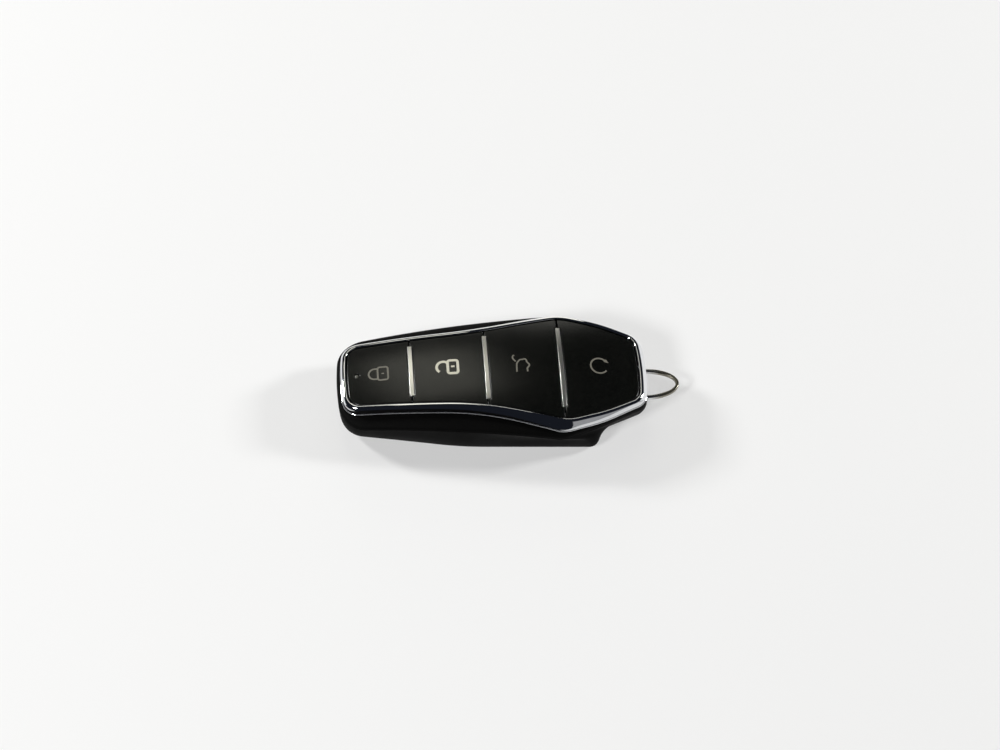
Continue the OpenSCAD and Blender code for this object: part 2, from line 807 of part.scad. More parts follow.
// Emergency key
tip_hw = 1.2;
tip_len = 2.2;
track_w = 1.5;
track_sway = 0.9;
track_pitch = 14;
track_depth = 0.45;
track_steps = 24;
track_stop = 2.3;
track_end = head_start - track_stop;
module key_blade() {
  z0 = key_z - blade_t / 2;
  w = blade_w / 2;
  color(steel) place() difference() {
    translate([0, 0, z0])
      linear_extrude(blade_t)
        polygon([
          [blade_tip, -tip_hw], [blade_tip + tip_len, -w], [tang_end, -w],
          [tang_end, w], [blade_tip + tip_len, w], [blade_tip, tip_hw]
        ]);
    for (z = [z0 - 1 + track_depth, z0 + blade_t - track_depth])
      translate([0, 0, z]) linear_extrude(1) polygon(track(blade_tip - 1, track_end));
  }
}

// Winding track milled into both faces of the blade
function sway(x) = track_sway * sin(360 * (x - blade_tip) / track_pitch);
function track_side(x0, x1, off) = [
  for (k = [0 : track_steps]) let (x = x0 + (x1 - x0) * k / track_steps) [x, sway(x) + off]
];
function reversed(v) = [for (i = [len(v) - 1 : -1 : 0]) v[i]];
function track(x0, x1) = concat(
  track_side(x0, x1, -track_w / 2),
  reversed(track_side(x0, x1, track_w / 2))
);

// Half an ellipse that starts and ends on x = 0
function half_ellipse(len, w) = [
  for (k = [0 : loop_steps]) let (a = 180 * k / loop_steps - 90) [len * cos(a), w * sin(a)]
];

// Key head: a block that takes the blade's tang, a notch for the pawl and the key-ring loop
loop_root = 1;
module key_head() {
  w = head_w / 2;
  z0 = key_z - head_t / 2;
  color(chrome) place() difference() {
    union() {
      box(head_start, eye_start, -w, w, z0, z0 + head_t);
      translate([eye_start, 0, z0 + head_t - loop_t])
        linear_extrude(loop_t)
          polygon(concat(
            [[-loop_root, loop_w / 2], [-loop_root, -loop_w / 2]],
            half_ellipse(loop_tip - eye_start, loop_w / 2)
          ));
    }
    translate([eye_start, 0, z0 - 1])
      linear_extrude(head_t + 2)
        polygon(half_ellipse(loop_tip - loop_tip_bar - eye_start, loop_w / 2 - loop_bar));
    box(head_start - 1, tang_end, -blade_w / 2, blade_w / 2, key_z - blade_t / 2, key_z + blade_t / 2);
    box(notch_at - notch_w / 2, notch_at + notch_w / 2, -w - 1, -w + pawl_bite + slide_gap,
      z0 - 1, z0 + head_t + 1);
  }
}

// Release slider: a finger pad under the base, a stem and a pawl in the head's notch
ridge_d = 0.5;
ridges = 4;
module release_slider() {
  x0 = notch_at - pad[0] / 2;
  y0 = -pad_inner_y - pad[1];
  color(black) place() union() {
    difference() {
      box(x0, x0 + pad[0], y0, y0 + pad[1], pad_z, pad_z + pad[2]);
      for (k = [1 : ridges])
        translate([x0 - 1, y0 + pad[1] * k / (ridges + 1), pad_z])
          rotate([0, 90, 0])
            cylinder(d = ridge_d, h = pad[0] + 2);
    }
    box(notch_at - stem_w / 2, notch_at + stem_w / 2, -stem_y - stem_depth, -stem_y,
      pad_z + pad[2] / 2, key_z + head_t / 2);
    box(notch_at - pawl_w / 2, notch_at + pawl_w / 2, -stem_y - 1, -head_w / 2 + pawl_bite,
      key_z - head_t / 2 + pawl_gap, key_z + head_t / 2 - pawl_gap);
  }
}

// Release spring: one unbroken helix between the slider's stem and the housing
spring_len = spring_back_y - stem_y - stem_depth - spring_wire - 2 * seat_gap;
spring_steps = spring_turns * spring_rings;
function spring_point(k) =
  let (a = 360 * k / spring_rings, r = (spring_d - spring_wire) / 2)
  [r * cos(a), spring_len * k / spring_steps, r * sin(a)];
function spring_ring(k) =
  let (a = 360 * k / spring_rings, p = spring_point(k))
  [
    for (j = [0 : spring_sides - 1])
      let (b = 360 * j / spring_sides)
      p + spring_wire / 2 * [cos(b) * cos(a), sin(b), cos(b) * sin(a)]
  ];
spring_self_gap = spring_len / spring_turns - spring_wire;
echo(spring_self_gap = spring_self_gap);
module release_spring() {
  s = spring_sides;
  sides = [
    for (k = [0 : spring_steps - 1], j = [0 : s - 1])
      let (a = k * s + j, b = k * s + (j + 1) % s)
      each [[a, b, b + s], [a, b + s, a + s]]
  ];
  first = [for (j = [1 : s - 2]) [0, j + 1, j]];
  last = [for (f = first) [f[2], f[1], f[0]] + spring_steps * s * [1, 1, 1]];
  color(steel) place()
    translate([notch_at, -spring_back_y + spring_wire / 2 + seat_gap, key_z])
      polyhedron(
        points = [for (k = [0 : spring_steps]) each spring_ring(k)],
        faces = concat(sides, first, last)
      );
}

rear_housing();
front_housing();
back_cover();
rim_seal();
chrome_frame();
key_carrier();
key_lock();
key_unlock();
key_boot();
key_start();
divider_1();
divider_2();
divider_3();
key_mat();
circuit_board();
switch_lock();
switch_unlock();
switch_boot();
switch_start();
plunger_lock();
plunger_unlock();
plunger_boot();
plunger_start();
indicator_lamp();
light_pipe();
control_chip();
radio_chip();
crystal();
receiver_coil();
board_screws();
inner_tray();
coin_cell();
cell_contact_plus();
cell_contact_minus();
key_blade();
key_head();
release_slider();
release_spring();
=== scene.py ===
import json
from math import acos, cos, hypot, pi, radians, sin, sqrt, tan

import bmesh
import bpy
from mathutils import Matrix, Vector
from mathutils.geometry import delaunay_2d_cdt


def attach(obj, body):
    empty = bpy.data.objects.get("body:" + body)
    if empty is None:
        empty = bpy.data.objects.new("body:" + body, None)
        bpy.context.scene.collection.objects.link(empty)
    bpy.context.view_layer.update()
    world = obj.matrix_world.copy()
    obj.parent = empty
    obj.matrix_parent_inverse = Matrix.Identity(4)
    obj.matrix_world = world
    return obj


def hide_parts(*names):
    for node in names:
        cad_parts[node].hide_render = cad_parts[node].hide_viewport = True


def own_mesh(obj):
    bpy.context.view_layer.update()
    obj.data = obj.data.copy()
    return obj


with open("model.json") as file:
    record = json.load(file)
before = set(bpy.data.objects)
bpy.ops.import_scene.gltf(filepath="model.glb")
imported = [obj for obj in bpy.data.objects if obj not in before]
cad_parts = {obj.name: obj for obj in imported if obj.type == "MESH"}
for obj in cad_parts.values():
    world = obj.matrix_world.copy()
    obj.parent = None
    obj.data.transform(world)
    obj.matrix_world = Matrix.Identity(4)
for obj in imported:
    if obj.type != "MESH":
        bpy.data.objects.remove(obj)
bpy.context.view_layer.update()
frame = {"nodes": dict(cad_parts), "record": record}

# Sizes in millimetres, laid out from the housing's plain end to the loop's tip, as the solids are
MM = 0.001
# Key face: its crest, its radii along and across, and the outline's corners (along, half width, radius)
CREST_H = 15.5
ARCH_R = 206.0
CROWN_R = 67.0
CREST_AT = 38.5
END_ANGLE = radians(5)
HIP_AT = 55.8
FACE = [(2.78, 8.25, 3.2), (34, 10.1, 100), (HIP_AT, 14.9, 11), (65.5, 12.35, 40), (74.02, 8.6, 3.4)]
# Gaps between pieces
FIT = 0.15
SEAT_GAP = 0.05
SLIDE_GAP = 0.2
SEAM = 0.1
# Chrome frame, whose foot is the lip's outline with each corner shifted
LIP_W = 1.15
LIP_RISE = 0.3
FRAME_H = 2.3
LEDGE_SLOPE = 1.22
FOOT_SHIFT = [(-0.3, 0.15, 0), (1, 0.6, 0), (-1.1, 1.1, -5), (-1, 0.8, 0), (1, -0.7, 0)]
# Housing: the belt where its halves meet, the hull under it and the back panel
BELT_D = 3.5
BELT_OUT = 0.15
BELT_BULGE = 0.9
BELT_MID_AT = 30
BELT_END_HW = 12.3
BELT_MID_HW = 15.5
BELT_MEAN_Z = 9.6
MATE_W = 4.4
SEAL_IN = 0.5
SEAL_W = 0.6
TAIL_HW = 7.2
BOARD_Z = 6.0
FLOOR_H = 2.2
COVER_T = (FLOOR_H - FIT) / 2
COVER_END = 54
COVER_LAP = 1.5
LEDGE_W = 0.7
BILGE_SHARE = 0.4
BILGE_Z = COVER_T + (BOARD_Z - COVER_T) * BILGE_SHARE
CAVITY_START = 3
CAVITY_PAST_HIP = 0.2
CAVITY_END = HIP_AT + CAVITY_PAST_HIP
CELL_AT = 14.3
# Divider strips
FIRST_DIVIDER = 18.1
DIVIDER_PITCH = 18.53
DIVIDERS = [FIRST_DIVIDER + DIVIDER_PITCH * i for i in range(3)]
BAR_W = 1.05
BAR_HALF = [7.2, 9.1, 11.5]
BAR_GAP = 0.12
BAR_RISE = 0.1
# Keys, each placed from the divider beside it
WORDS = ("lock", "unlock", "boot", "start")
KEY_GAP = 0.25
SPLIT_GAP = 0.3
CAP_T = 1.5
KEY_MID = [-8, 8.9, 8.75, 9.45]
KEY_X = [DIVIDERS[max(i - 1, 0)] + mid for i, mid in enumerate(KEY_MID)]
PEG_Y = [5.6, 6.5, 8, 8]
PEG_R = 0.9
COLLAR_R = 1.45
COLLAR_H = 0.5
COLLAR_GAP = 0.35
CARRIER_T = 1.0
LAMP_AT = 4.9
LAMP_HOLE_R = 0.62
# Stack from the board up to the keys' posts
BOARD_T = 1.0
BOARD_TOP = BOARD_Z + BOARD_T
LAMP_H = 0.6
SWITCH_H = 1.4
PLUNGER_OUT = 0.4
MAT_Z = BOARD_TOP + SWITCH_H + PLUNGER_OUT + SEAT_GAP
MAT_T = 0.5
MAT_HW = 3.4
MAT_END = 3.5
BUMP_H = 0.35
POST_R = 1.8
POST_Z = MAT_Z + MAT_T + BUMP_H + SEAT_GAP
SCREW_LEN = 3.4
SCREW_AT = [(BELT_MID_AT, 8.2), (CAVITY_END - 3, 9)]
# Emergency key and its loop
KEY_Z = 3.9
HEAD_W = 10.0
HEAD_T = 2.6
BLADE_W = 7.0
BLADE_T = 2.0
TANG_LEN = 9.7
LOOP_OUT = 8.8
LOOP_W = 8.8
LOOP_T = 1.2
LOOP_BAR = 1.05
LOOP_TIP_BAR = 0.85
LOOP_ROOT = 0.9
# Release slider and its spring
NOTCH_BACK = 2.9
NOTCH_W = 2.4
PAWL_BITE = 0.8
PAD = (5, 4.4, 1.1)
PAD_Z = 0.3
PAD_Y = HEAD_W / 2 + SLIDE_GAP
STEM_W = 3
STEM_DEPTH = 3.1
STEM_GAP = 0.3
STEM_Y = HEAD_W / 2 + STEM_GAP
SPRING_ROOM = 3.9
SPRING_POCKET_R = 1.45
SPRING_WIRE = 0.35
SPRING_D = 2.3
SPRING_TURNS = 4
SPRING_BACK_Y = STEM_Y + STEM_DEPTH + SPRING_ROOM
SPRING_LEN = SPRING_ROOM - SPRING_WIRE - 2 * SEAT_GAP
# Cutters reach past the skin by PAST, or right through the part and beyond it
PAST = 1
WIDE = 50
FAR = 100
ABOVE = 30


# Outlines: a half outline is a list of corners (x, y, radius) from the plain end to the loop end
def unit(x, y):
    n = hypot(x, y)
    return (x / n, y / n)


def ways(c, i):
    """Directions in which the outline comes to corner i and leaves it."""
    into = (sin(END_ANGLE), cos(END_ANGLE))
    out = (sin(END_ANGLE), -cos(END_ANGLE))
    if i > 0:
        into = unit(c[i][0] - c[i - 1][0], c[i][1] - c[i - 1][1])
    if i < len(c) - 1:
        out = unit(c[i + 1][0] - c[i][0], c[i + 1][1] - c[i][1])
    return into, out


def bend(u, w):
    return 1 if u[0] * w[1] - u[1] * w[0] < 0 else -1


def inset(c, d):
    out = []
    for i, (x, y, r) in enumerate(c):
        u, w = ways(c, i)
        k = d / (1 + u[0] * w[0] + u[1] * w[1])
        out.append((x + k * (u[1] + w[1]), y - k * (u[0] + w[0]), max(r - bend(u, w) * d, 0.3)))
    return out


def between(a, b, t):
    return [tuple(p + (q - p) * t for p, q in zip(m, n)) for m, n in zip(a, b)]


def corner_arc(c, i, steps):
    u, w = ways(c, i)
    s = bend(u, w)
    x, y, r = c[i]
    half = acos(min(1, u[0] * w[0] + u[1] * w[1])) / 2
    start = (x - u[0] * r * tan(half), y - u[1] * r * tan(half))
    centre = (start[0] + s * r * u[1], start[1] - s * r * u[0])
    v = (start[0] - centre[0], start[1] - centre[1])
    out = []
    for k in range(steps + 1):
        a = -s * 2 * half * k / steps
        out.append((centre[0] + v[0] * cos(a) - v[1] * sin(a), centre[1] + v[0] * sin(a) + v[1] * cos(a)))
    return out


def half_outline(c, arc=12, line=14, end=8):
    arcs = [corner_arc(c, i, arc) for i in range(len(c))]

    def bow(p, way):
        r = p[1] / sin(END_ANGLE)
        angles = [END_ANGLE * (k + 0.5) / end for k in range(end)]
        return [(p[0] + way * r * (cos(a) - cos(END_ANGLE)), r * sin(a)) for a in angles]

    out = bow(arcs[0][0], -1)
    for i, arc_points in enumerate(arcs):
        out += arc_points
        if i < len(arcs) - 1:
            p, q = arc_points[-1], arcs[i + 1][0]
            dx, dy = q[0] - p[0], q[1] - p[1]
            out += [(p[0] + dx * k / line, p[1] + dy * k / line) for k in range(1, line)]
    return out + bow(arcs[-1][-1], 1)[::-1]


def outline(c):
    h = half_outline(c)
    return h + [(x, -y) for x, y in reversed(h)]


def end_x(c, which=-1):
    """Place of an outline's end, with the solids' own steps."""
    return half_outline(c, 5, 4, 2)[which][0]


def face_z(x, y):
    """Height of the barrel-shaped key face over a point of the plan."""
    return CREST_H - ARCH_R + sqrt((ARCH_R - CROWN_R + sqrt(CROWN_R ** 2 - y * y)) ** 2 - (x - CREST_AT) ** 2)


def on_face(c, d):
    return [(x, y, face_z(x, y) - d) for x, y in outline(c)]


def at_height(c, z):
    return [(x, y, z) for x, y in outline(c)]


LIP = inset(FACE, -LIP_W)
FOOT = [tuple(p + q for p, q in zip(m, n)) for m, n in zip(LIP, FOOT_SHIFT)]
HIP_BELT_HW = FOOT[2][1] + BELT_BULGE
BELT = [(0.79, BELT_END_HW, 7.5), (BELT_MID_AT, BELT_MID_HW, 200), (FOOT[2][0], HIP_BELT_HW, 8)]
BELT += inset(FOOT, -BELT_OUT)[3:]
KEYS = inset(FACE, KEY_GAP)
CARRIER_HOLE = inset(FACE, 0.4)
TAIL_END = BELT[4][0]
PLAIN_END = end_x(BELT, 0)
FRAME_END = end_x(FOOT)
TAIL_FACE = end_x(BELT)
LOOP_TIP = FRAME_END + LOOP_OUT
EYE_START = TAIL_FACE + SEAT_GAP
SHIFT = (PLAIN_END + LOOP_TIP) / 2


def hull_ring(end, mid, hip, knee, tail):
    return [
        (end[0], BELT_END_HW - end[1], end[2]),
        (BELT_MID_AT, BELT_MID_HW - mid[0], mid[1]),
        (HIP_AT + hip[0], HIP_BELT_HW - hip[1], hip[2]),
        (HIP_AT + knee[0], TAIL_HW + knee[1], knee[2]),
        (TAIL_END - tail[0], TAIL_HW + tail[1], tail[2]),
    ]


WALL = hull_ring((1, 0.4, 6.4), (0.2, 150), (5.7, 1.5, 5), (11, 5.2, 10), (0, 1, 3))
BILGE = hull_ring((1.5, 1.5, 5.6), (0.6, 120), (7.8, 1.9, 2.2), (9.4, 4.4, 4), (0.2, 0, 3))
CHINE = hull_ring((2.6, 2.8, 5), (1.3, 90), (7.6, 2.5, 2), (9, 3.4, 4), (0.9, -1, 2.5))
BASE = hull_ring((3.9, 4.1, 4.2), (2.6, 60), (6.8, 3.8, 2), (8, 2.2, 3), (5, -2, 2))


# Meshes
class Shell:
    """Closed skins collected for one piece."""

    def __init__(self):
        self.verts = []
        self.faces = []

    def add(self, verts, faces):
        n = len(self.verts)
        self.verts += verts
        self.faces += [tuple(i + n for i in f) for f in faces]
        return self

    def hoop(self, rings):
        """A skin whose section, a loop of rings, runs right round an outline."""
        n, m = len(rings[0]), len(rings)
        faces = []
        for r in range(m):
            s = (r + 1) % m
            faces += [(r * n + j, r * n + (j + 1) % n, s * n + (j + 1) % n, s * n + j) for j in range(n)]
        return self.add([p for ring in rings for p in ring], faces)

    def stack(self, rings):
        """A skin through rings from the lowest to the highest, closed at both ends."""
        n, top = len(rings[0]), (len(rings) - 1) * len(rings[0])
        faces = []
        for r in range(len(rings) - 1):
            a, b = r * n, (r + 1) * n
            faces += [(a + j, a + (j + 1) % n, b + (j + 1) % n, b + j) for j in range(n)]
        caps = [(i, n - 1 - i, n - 2 - i, i + 1) for i in range(n // 2 - 1)]
        faces += caps + [tuple(top + i for i in reversed(f)) for f in caps]
        return self.add([p for ring in rings for p in ring], faces)

    def turned(self, x, y, profile, sides=40):
        """A skin turned about an upright axis from (radius, height) points, closed on the axis."""
        round_way = [2 * pi * k / sides for k in range(sides)]
        verts = [(x, y, profile[0][1])]
        for r, z in profile[1:-1]:
            verts += [(x + r * cos(a), y + r * sin(a), z) for a in round_way]
        verts.append((x, y, profile[-1][1]))
        faces = [(0, 1 + (k + 1) % sides, 1 + k) for k in range(sides)]
        for r in range(len(profile) - 3):
            a, b = 1 + r * sides, 1 + (r + 1) * sides
            faces += [(a + k, a + (k + 1) % sides, b + (k + 1) % sides, b + k) for k in range(sides)]
        a, last = 1 + (len(profile) - 3) * sides, len(verts) - 1
        faces += [(a + k, a + (k + 1) % sides, last) for k in range(sides)]
        return self.add(verts, faces)

    def block(self, x0, x1, y0, y1, z0, z1):
        verts = [(x, y, z) for z in (z0, z1) for x, y in ((x0, y0), (x1, y0), (x1, y1), (x0, y1))]
        sides = [(i, (i + 1) % 4, 4 + (i + 1) % 4, 4 + i) for i in range(4)]
        return self.add(verts, [(3, 2, 1, 0), (4, 5, 6, 7)] + sides)

    def rod(self, a, b, r, sides=32):
        """A round bar from point a to point b."""
        way = Vector(b) - Vector(a)
        turn = way.to_track_quat("Z", "Y")
        round_way = [2 * pi * k / sides for k in range(sides)]
        ring = [turn @ Vector((r * cos(a), r * sin(a), 0)) for a in round_way]
        verts = [tuple(Vector(end) + p) for end in (a, b) for p in ring]
        faces = [(k, (k + 1) % sides, sides + (k + 1) % sides, sides + k) for k in range(sides)]
        return self.add(verts, faces + [tuple(reversed(range(sides))), tuple(range(sides, 2 * sides))])

    def slab(self, rim, hole, edge_r, top_d, bottom_d, mesh_step=0.8, steps=4):
        """A soft-edged plate that follows the key face between two depths; rim and hole are plans."""
        plans = [rim] + ([hole] if hole else [])
        verts, faces, tops = [], [], []
        for plan in plans:
            rings = [[(x, y, face_z(x, y) - bottom_d) for x, y in plan]]
            for k in range(steps + 1):
                a = pi / 2 * k / steps
                ring = shrunk(plan, edge_r * (1 - cos(a)))
                rings.append([(x, y, face_z(x, y) - top_d - edge_r * (1 - sin(a))) for x, y in ring])
            rings.append([(x, y, face_z(x, y) - top_d) for x, y in shrunk(plan, edge_r + 0.06)])
            n, base = len(plan), len(verts)
            verts += [p for ring in rings for p in ring]
            for r in range(len(rings) - 1):
                a, b = base + r * n, base + (r + 1) * n
                faces += [(a + j, a + (j + 1) % n, b + (j + 1) % n, b + j) for j in range(n)]
            tops.append((base, base + (len(rings) - 1) * n, n))
        for side, depth in ((1, top_d), (0, bottom_d)):
            loops = [[verts[t[side] + j][:2] for j in range(t[2])] for t in tops]
            ids = [t[side] + j for t in tops for j in range(t[2])]
            extra, tris = filled(loops, mesh_step)
            ids += list(range(len(verts), len(verts) + len(extra)))
            verts += [(x, y, face_z(x, y) - depth) for x, y in extra]
            faces += [tuple(ids[i] for i in (t if side else reversed(t))) for t in tris]
        return self.add(verts, faces)


def shrunk(plan, d):
    """A plan drawn in by d at every corner; a plan that runs clockwise is a hole and widens."""
    out = []
    for i, (x, y) in enumerate(plan):
        px, py = plan[i - 1]
        qx, qy = plan[(i + 1) % len(plan)]
        u, w = unit(x - px, y - py), unit(qx - x, qy - y)
        k = d / max(0.3, 1 + u[0] * w[0] + u[1] * w[1])
        out.append((x - k * (u[1] + w[1]), y + k * (u[0] + w[0])))
    return out


def inside(plan, x, y):
    hit = False
    for i, (ax, ay) in enumerate(plan):
        bx, by = plan[i - 1]
        if (ay > y) != (by > y) and x < (bx - ax) * (y - ay) / (by - ay) + ax:
            hit = not hit
    return hit


def off_line(plan, p):
    """Least distance from a point to the sides of a plan."""
    best = 1e9
    for (ax, ay), (bx, by) in zip(plan, plan[1:] + plan[:1]):
        dx, dy = bx - ax, by - ay
        t = ((p[0] - ax) * dx + (p[1] - ay) * dy) / max(1e-12, dx * dx + dy * dy)
        t = min(1, max(0, t))
        best = min(best, hypot(p[0] - ax - t * dx, p[1] - ay - t * dy))
    return best


def filled(loops, step):
    """Triangles that fill the first loop less the others, with a grid of extra points inside."""
    xs = [p[0] for p in loops[0]]
    ys = [p[1] for p in loops[0]]
    near = [shrunk(loop, step * 0.45) for loop in loops]
    grid = []
    for i in range(int((max(xs) - min(xs)) / step) + 1):
        for j in range(int((max(ys) - min(ys)) / step) + 1):
            x, y = min(xs) + (i + 0.5) * step, min(ys) + (j + 0.5) * step
            if inside(near[0], x, y) and not any(inside(n, x, y) for n in near[1:]):
                grid.append((x, y))
    points, edges = [], []
    for loop in loops:
        n = len(points)
        points += loop
        edges += [(n + k, n + (k + 1) % len(loop)) for k in range(len(loop))]
    points += grid
    within_edges = 1
    made = delaunay_2d_cdt(points, edges, [], within_edges, 1e-7)
    back = [ids[0] for ids in made[3]]
    rims = range(len(loops[0]), len(points) - len(grid))
    tris = [tuple(back[i] for i in f) for f in made[2]]
    return grid, [t for t in tris if not all(i in rims for i in t)]


def new_object(name, mesh):
    obj = bpy.data.objects.new(name, mesh)
    bpy.context.scene.collection.objects.link(obj)
    return obj


def mesh_of(name, shell):
    mesh = bpy.data.meshes.new(name)
    mesh.from_pydata([((x - SHIFT) * MM, y * MM, z * MM) for x, y, z in shell.verts], [], shell.faces)
    bm = bmesh.new()
    bm.from_mesh(mesh)
    bmesh.ops.recalc_face_normals(bm, faces=bm.faces)
    bm.to_mesh(mesh)
    bm.free()
    return mesh


def finish_piece(obj, body, material, nodes=(), crease=35):
    """Sets the finish of a piece and hangs it on its body."""
    obj.data.materials.clear()
    obj.data.materials.append(material)
    obj.data.polygons.foreach_set("material_index", [0] * len(obj.data.polygons))
    obj.data.shade_smooth()
    obj.data.set_sharp_from_angle(angle=radians(crease))
    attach(obj, body)
    if nodes:
        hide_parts(*nodes)
    return obj


def piece(name, shell, body, material, nodes=(), crease=35):
    return finish_piece(new_object(name, mesh_of(name, shell)), body, material, nodes, crease)


def plain_mesh(obj):
    """The evaluated object as a plain mesh of its own, with its modifiers gone."""
    depsgraph = bpy.context.evaluated_depsgraph_get()
    mesh = bpy.data.meshes.new_from_object(obj.evaluated_get(depsgraph))
    name = obj.name
    bpy.data.objects.remove(obj)
    return new_object(name, mesh)


# Shader groups
def add(tree, kind, **values):
    """Adds a node. A key is a setting, a socket's name or i and its number; a socket as value is linked."""
    n = tree.nodes.new(kind)
    for key, value in values.items():
        if key in n.bl_rna.properties:
            setattr(n, key, value)
            continue
        numbered = key[0] == "i" and key[1:].isdigit()
        socket = n.inputs[int(key[1:]) if numbered else key.replace("_", " ")]
        if isinstance(value, bpy.types.NodeSocket):
            tree.links.new(value, socket)
        else:
            socket.default_value = value
    return n


def math(tree, operation, a, b=0.5, clamp=False):
    return add(tree, "ShaderNodeMath", operation=operation, use_clamp=clamp, i0=a, i1=b).outputs[0]


def shader_group(name, inputs, outputs):
    tree = bpy.data.node_groups.new(name, "ShaderNodeTree")
    for label, kind, value in inputs:
        socket = tree.interface.new_socket(label, in_out="INPUT", socket_type=kind)
        if kind != "NodeSocketVector":
            socket.default_value = value
    for label, kind in outputs:
        tree.interface.new_socket(label, in_out="OUTPUT", socket_type=kind)
    return tree, tree.nodes.new("NodeGroupInput").outputs, tree.nodes.new("NodeGroupOutput").inputs


def make_moulded_grain():
    """Fine spark-eroded grain of moulded plastic: its height, and the specks that catch the light."""
    tree, given, out = shader_group(
        "moulded grain",
        [("Place", "NodeSocketVector", None), ("Grain per metre", "NodeSocketFloat", 9000.0),
         ("Speck share", "NodeSocketFloat", 0.3)],
        [("Height", "NodeSocketFloat"), ("Speck", "NodeSocketFloat")])
    fine = add(tree, "ShaderNodeTexNoise", Vector=given["Place"], Scale=given["Grain per metre"], Detail=2.0)
    cells = add(tree, "ShaderNodeTexVoronoi", Vector=given["Place"], Scale=given["Grain per metre"])
    least = math(tree, "SUBTRACT", 1.0, given["Speck share"])
    shade = add(tree, "ShaderNodeSeparateColor", Color=cells.outputs["Color"])
    speck = math(tree, "SUBTRACT", shade.outputs[0], least, True)
    tree.links.new(fine.outputs["Fac"], out["Height"])
    tree.links.new(math(tree, "DIVIDE", speck, given["Speck share"], True), out["Speck"])
    return tree


def make_handling():
    """Faint smears and hairline scratches that use leaves on a polished or satin surface."""
    tree, given, out = shader_group(
        "handling marks",
        [("Place", "NodeSocketVector", None), ("Smears per metre", "NodeSocketFloat", 120.0)],
        [("Smear", "NodeSocketFloat"), ("Scratch", "NodeSocketFloat")])
    soft = add(tree, "ShaderNodeTexNoise", Vector=given["Place"], Scale=given["Smears per metre"],
               Detail=4.0, Roughness=0.6)
    smear = add(tree, "ShaderNodeMapRange", Value=soft.outputs["Fac"], i1=0.38, i2=0.72)
    turned = add(tree, "ShaderNodeMapping", Vector=given["Place"], Rotation=(0.2, 0.1, 0.7),
                 Scale=(1.0, 14.0, 3.0))
    lines = add(tree, "ShaderNodeTexNoise", Vector=turned.outputs[0], Scale=520.0, Detail=3.0)
    scratch = add(tree, "ShaderNodeMapRange", Value=lines.outputs["Fac"], i1=0.64, i2=0.7)
    tree.links.new(smear.outputs[0], out["Smear"])
    tree.links.new(scratch.outputs[0], out["Scratch"])
    return tree


GRAIN = make_moulded_grain()
HANDLING = make_handling()


def new_material(name):
    material = bpy.data.materials.new(name)
    material.use_nodes = True
    tree = material.node_tree
    tree.nodes.clear()
    shader = add(tree, "ShaderNodeBsdfPrincipled")
    add(tree, "ShaderNodeOutputMaterial", Surface=shader.outputs[0])
    place = add(tree, "ShaderNodeTexCoord").outputs["Object"]
    return material, tree, shader.inputs, place


def use(tree, group, place, **values):
    n = tree.nodes.new("ShaderNodeGroup")
    n.node_tree = group
    tree.links.new(place, n.inputs["Place"])
    for key, value in values.items():
        n.inputs[key.replace("_", " ")].default_value = value
    return n.outputs


def mixed(tree, share, a, b):
    n = add(tree, "ShaderNodeMix", data_type="RGBA")
    tree.links.new(share, n.inputs["Factor"])
    n.inputs[6].default_value = (*a, 1)
    n.inputs[7].default_value = (*b, 1)
    return n.outputs[2]


def moulded(name, dark, light, rough, spread, grain, height, speck=0.3):
    """Moulded plastic or rubber: grained, with specks and faint handling marks."""
    material, tree, shader, place = new_material(name)
    grains = use(tree, GRAIN, place, Grain_per_metre=grain, Speck_share=speck)
    marks = use(tree, HANDLING, place)
    tree.links.new(mixed(tree, grains["Speck"], dark, light), shader["Base Color"])
    varied = math(tree, "MULTIPLY", marks["Smear"], spread)
    tree.links.new(math(tree, "ADD", varied, rough - spread / 2), shader["Roughness"])
    bump = add(tree, "ShaderNodeBump", Height=grains["Height"], Strength=0.5, Distance=height)
    tree.links.new(bump.outputs[0], shader["Normal"])
    return material


def plated(name, tint, dull, rough, spread):
    """Bright plating with faint smears and hairlines."""
    material, tree, shader, place = new_material(name)
    shader["Metallic"].default_value = 1.0
    marks = use(tree, HANDLING, place)
    tree.links.new(mixed(tree, marks["Smear"], tint, dull), shader["Base Color"])
    varied = math(tree, "MULTIPLY", marks["Smear"], spread)
    smeared = math(tree, "ADD", varied, rough)
    scratched = math(tree, "MULTIPLY", marks["Scratch"], spread)
    tree.links.new(math(tree, "ADD", smeared, scratched), shader["Roughness"])
    bump = add(tree, "ShaderNodeBump", Height=marks["Scratch"], Strength=0.15, Distance=0.000003, invert=True)
    tree.links.new(bump.outputs[0], shader["Normal"])
    return material


def plating_with_painted_shade(name, bright, dull, start, stop):
    """Plating that is bright at one end and darkened along X, in patches: painted shade in place of the
    darker reflections towards the loop's tip.
    """
    material, tree, shader, place = new_material(name)
    shader["Metallic"].default_value = 1.0
    marks = use(tree, HANDLING, place, Smears_per_metre=600.0)
    along = add(tree, "ShaderNodeSeparateXYZ", Vector=place).outputs[0]
    # Ramp along X from the bright to the dark colour: painted shade, darkest over the loop's outer part
    shade_ramp = add(tree, "ShaderNodeMapRange", Value=along, i1=(start - SHIFT) * MM, i2=(stop - SHIFT) * MM)
    # The painted shade, broken up by smears
    shade_and_smears = math(tree, "ADD", shade_ramp.outputs[0], math(tree, "MULTIPLY", marks["Smear"], 0.3), True)
    tree.links.new(mixed(tree, shade_and_smears, bright, dull), shader["Base Color"])
    tree.links.new(math(tree, "ADD", math(tree, "MULTIPLY", shade_and_smears, 0.15), 0.14), shader["Roughness"])
    return material


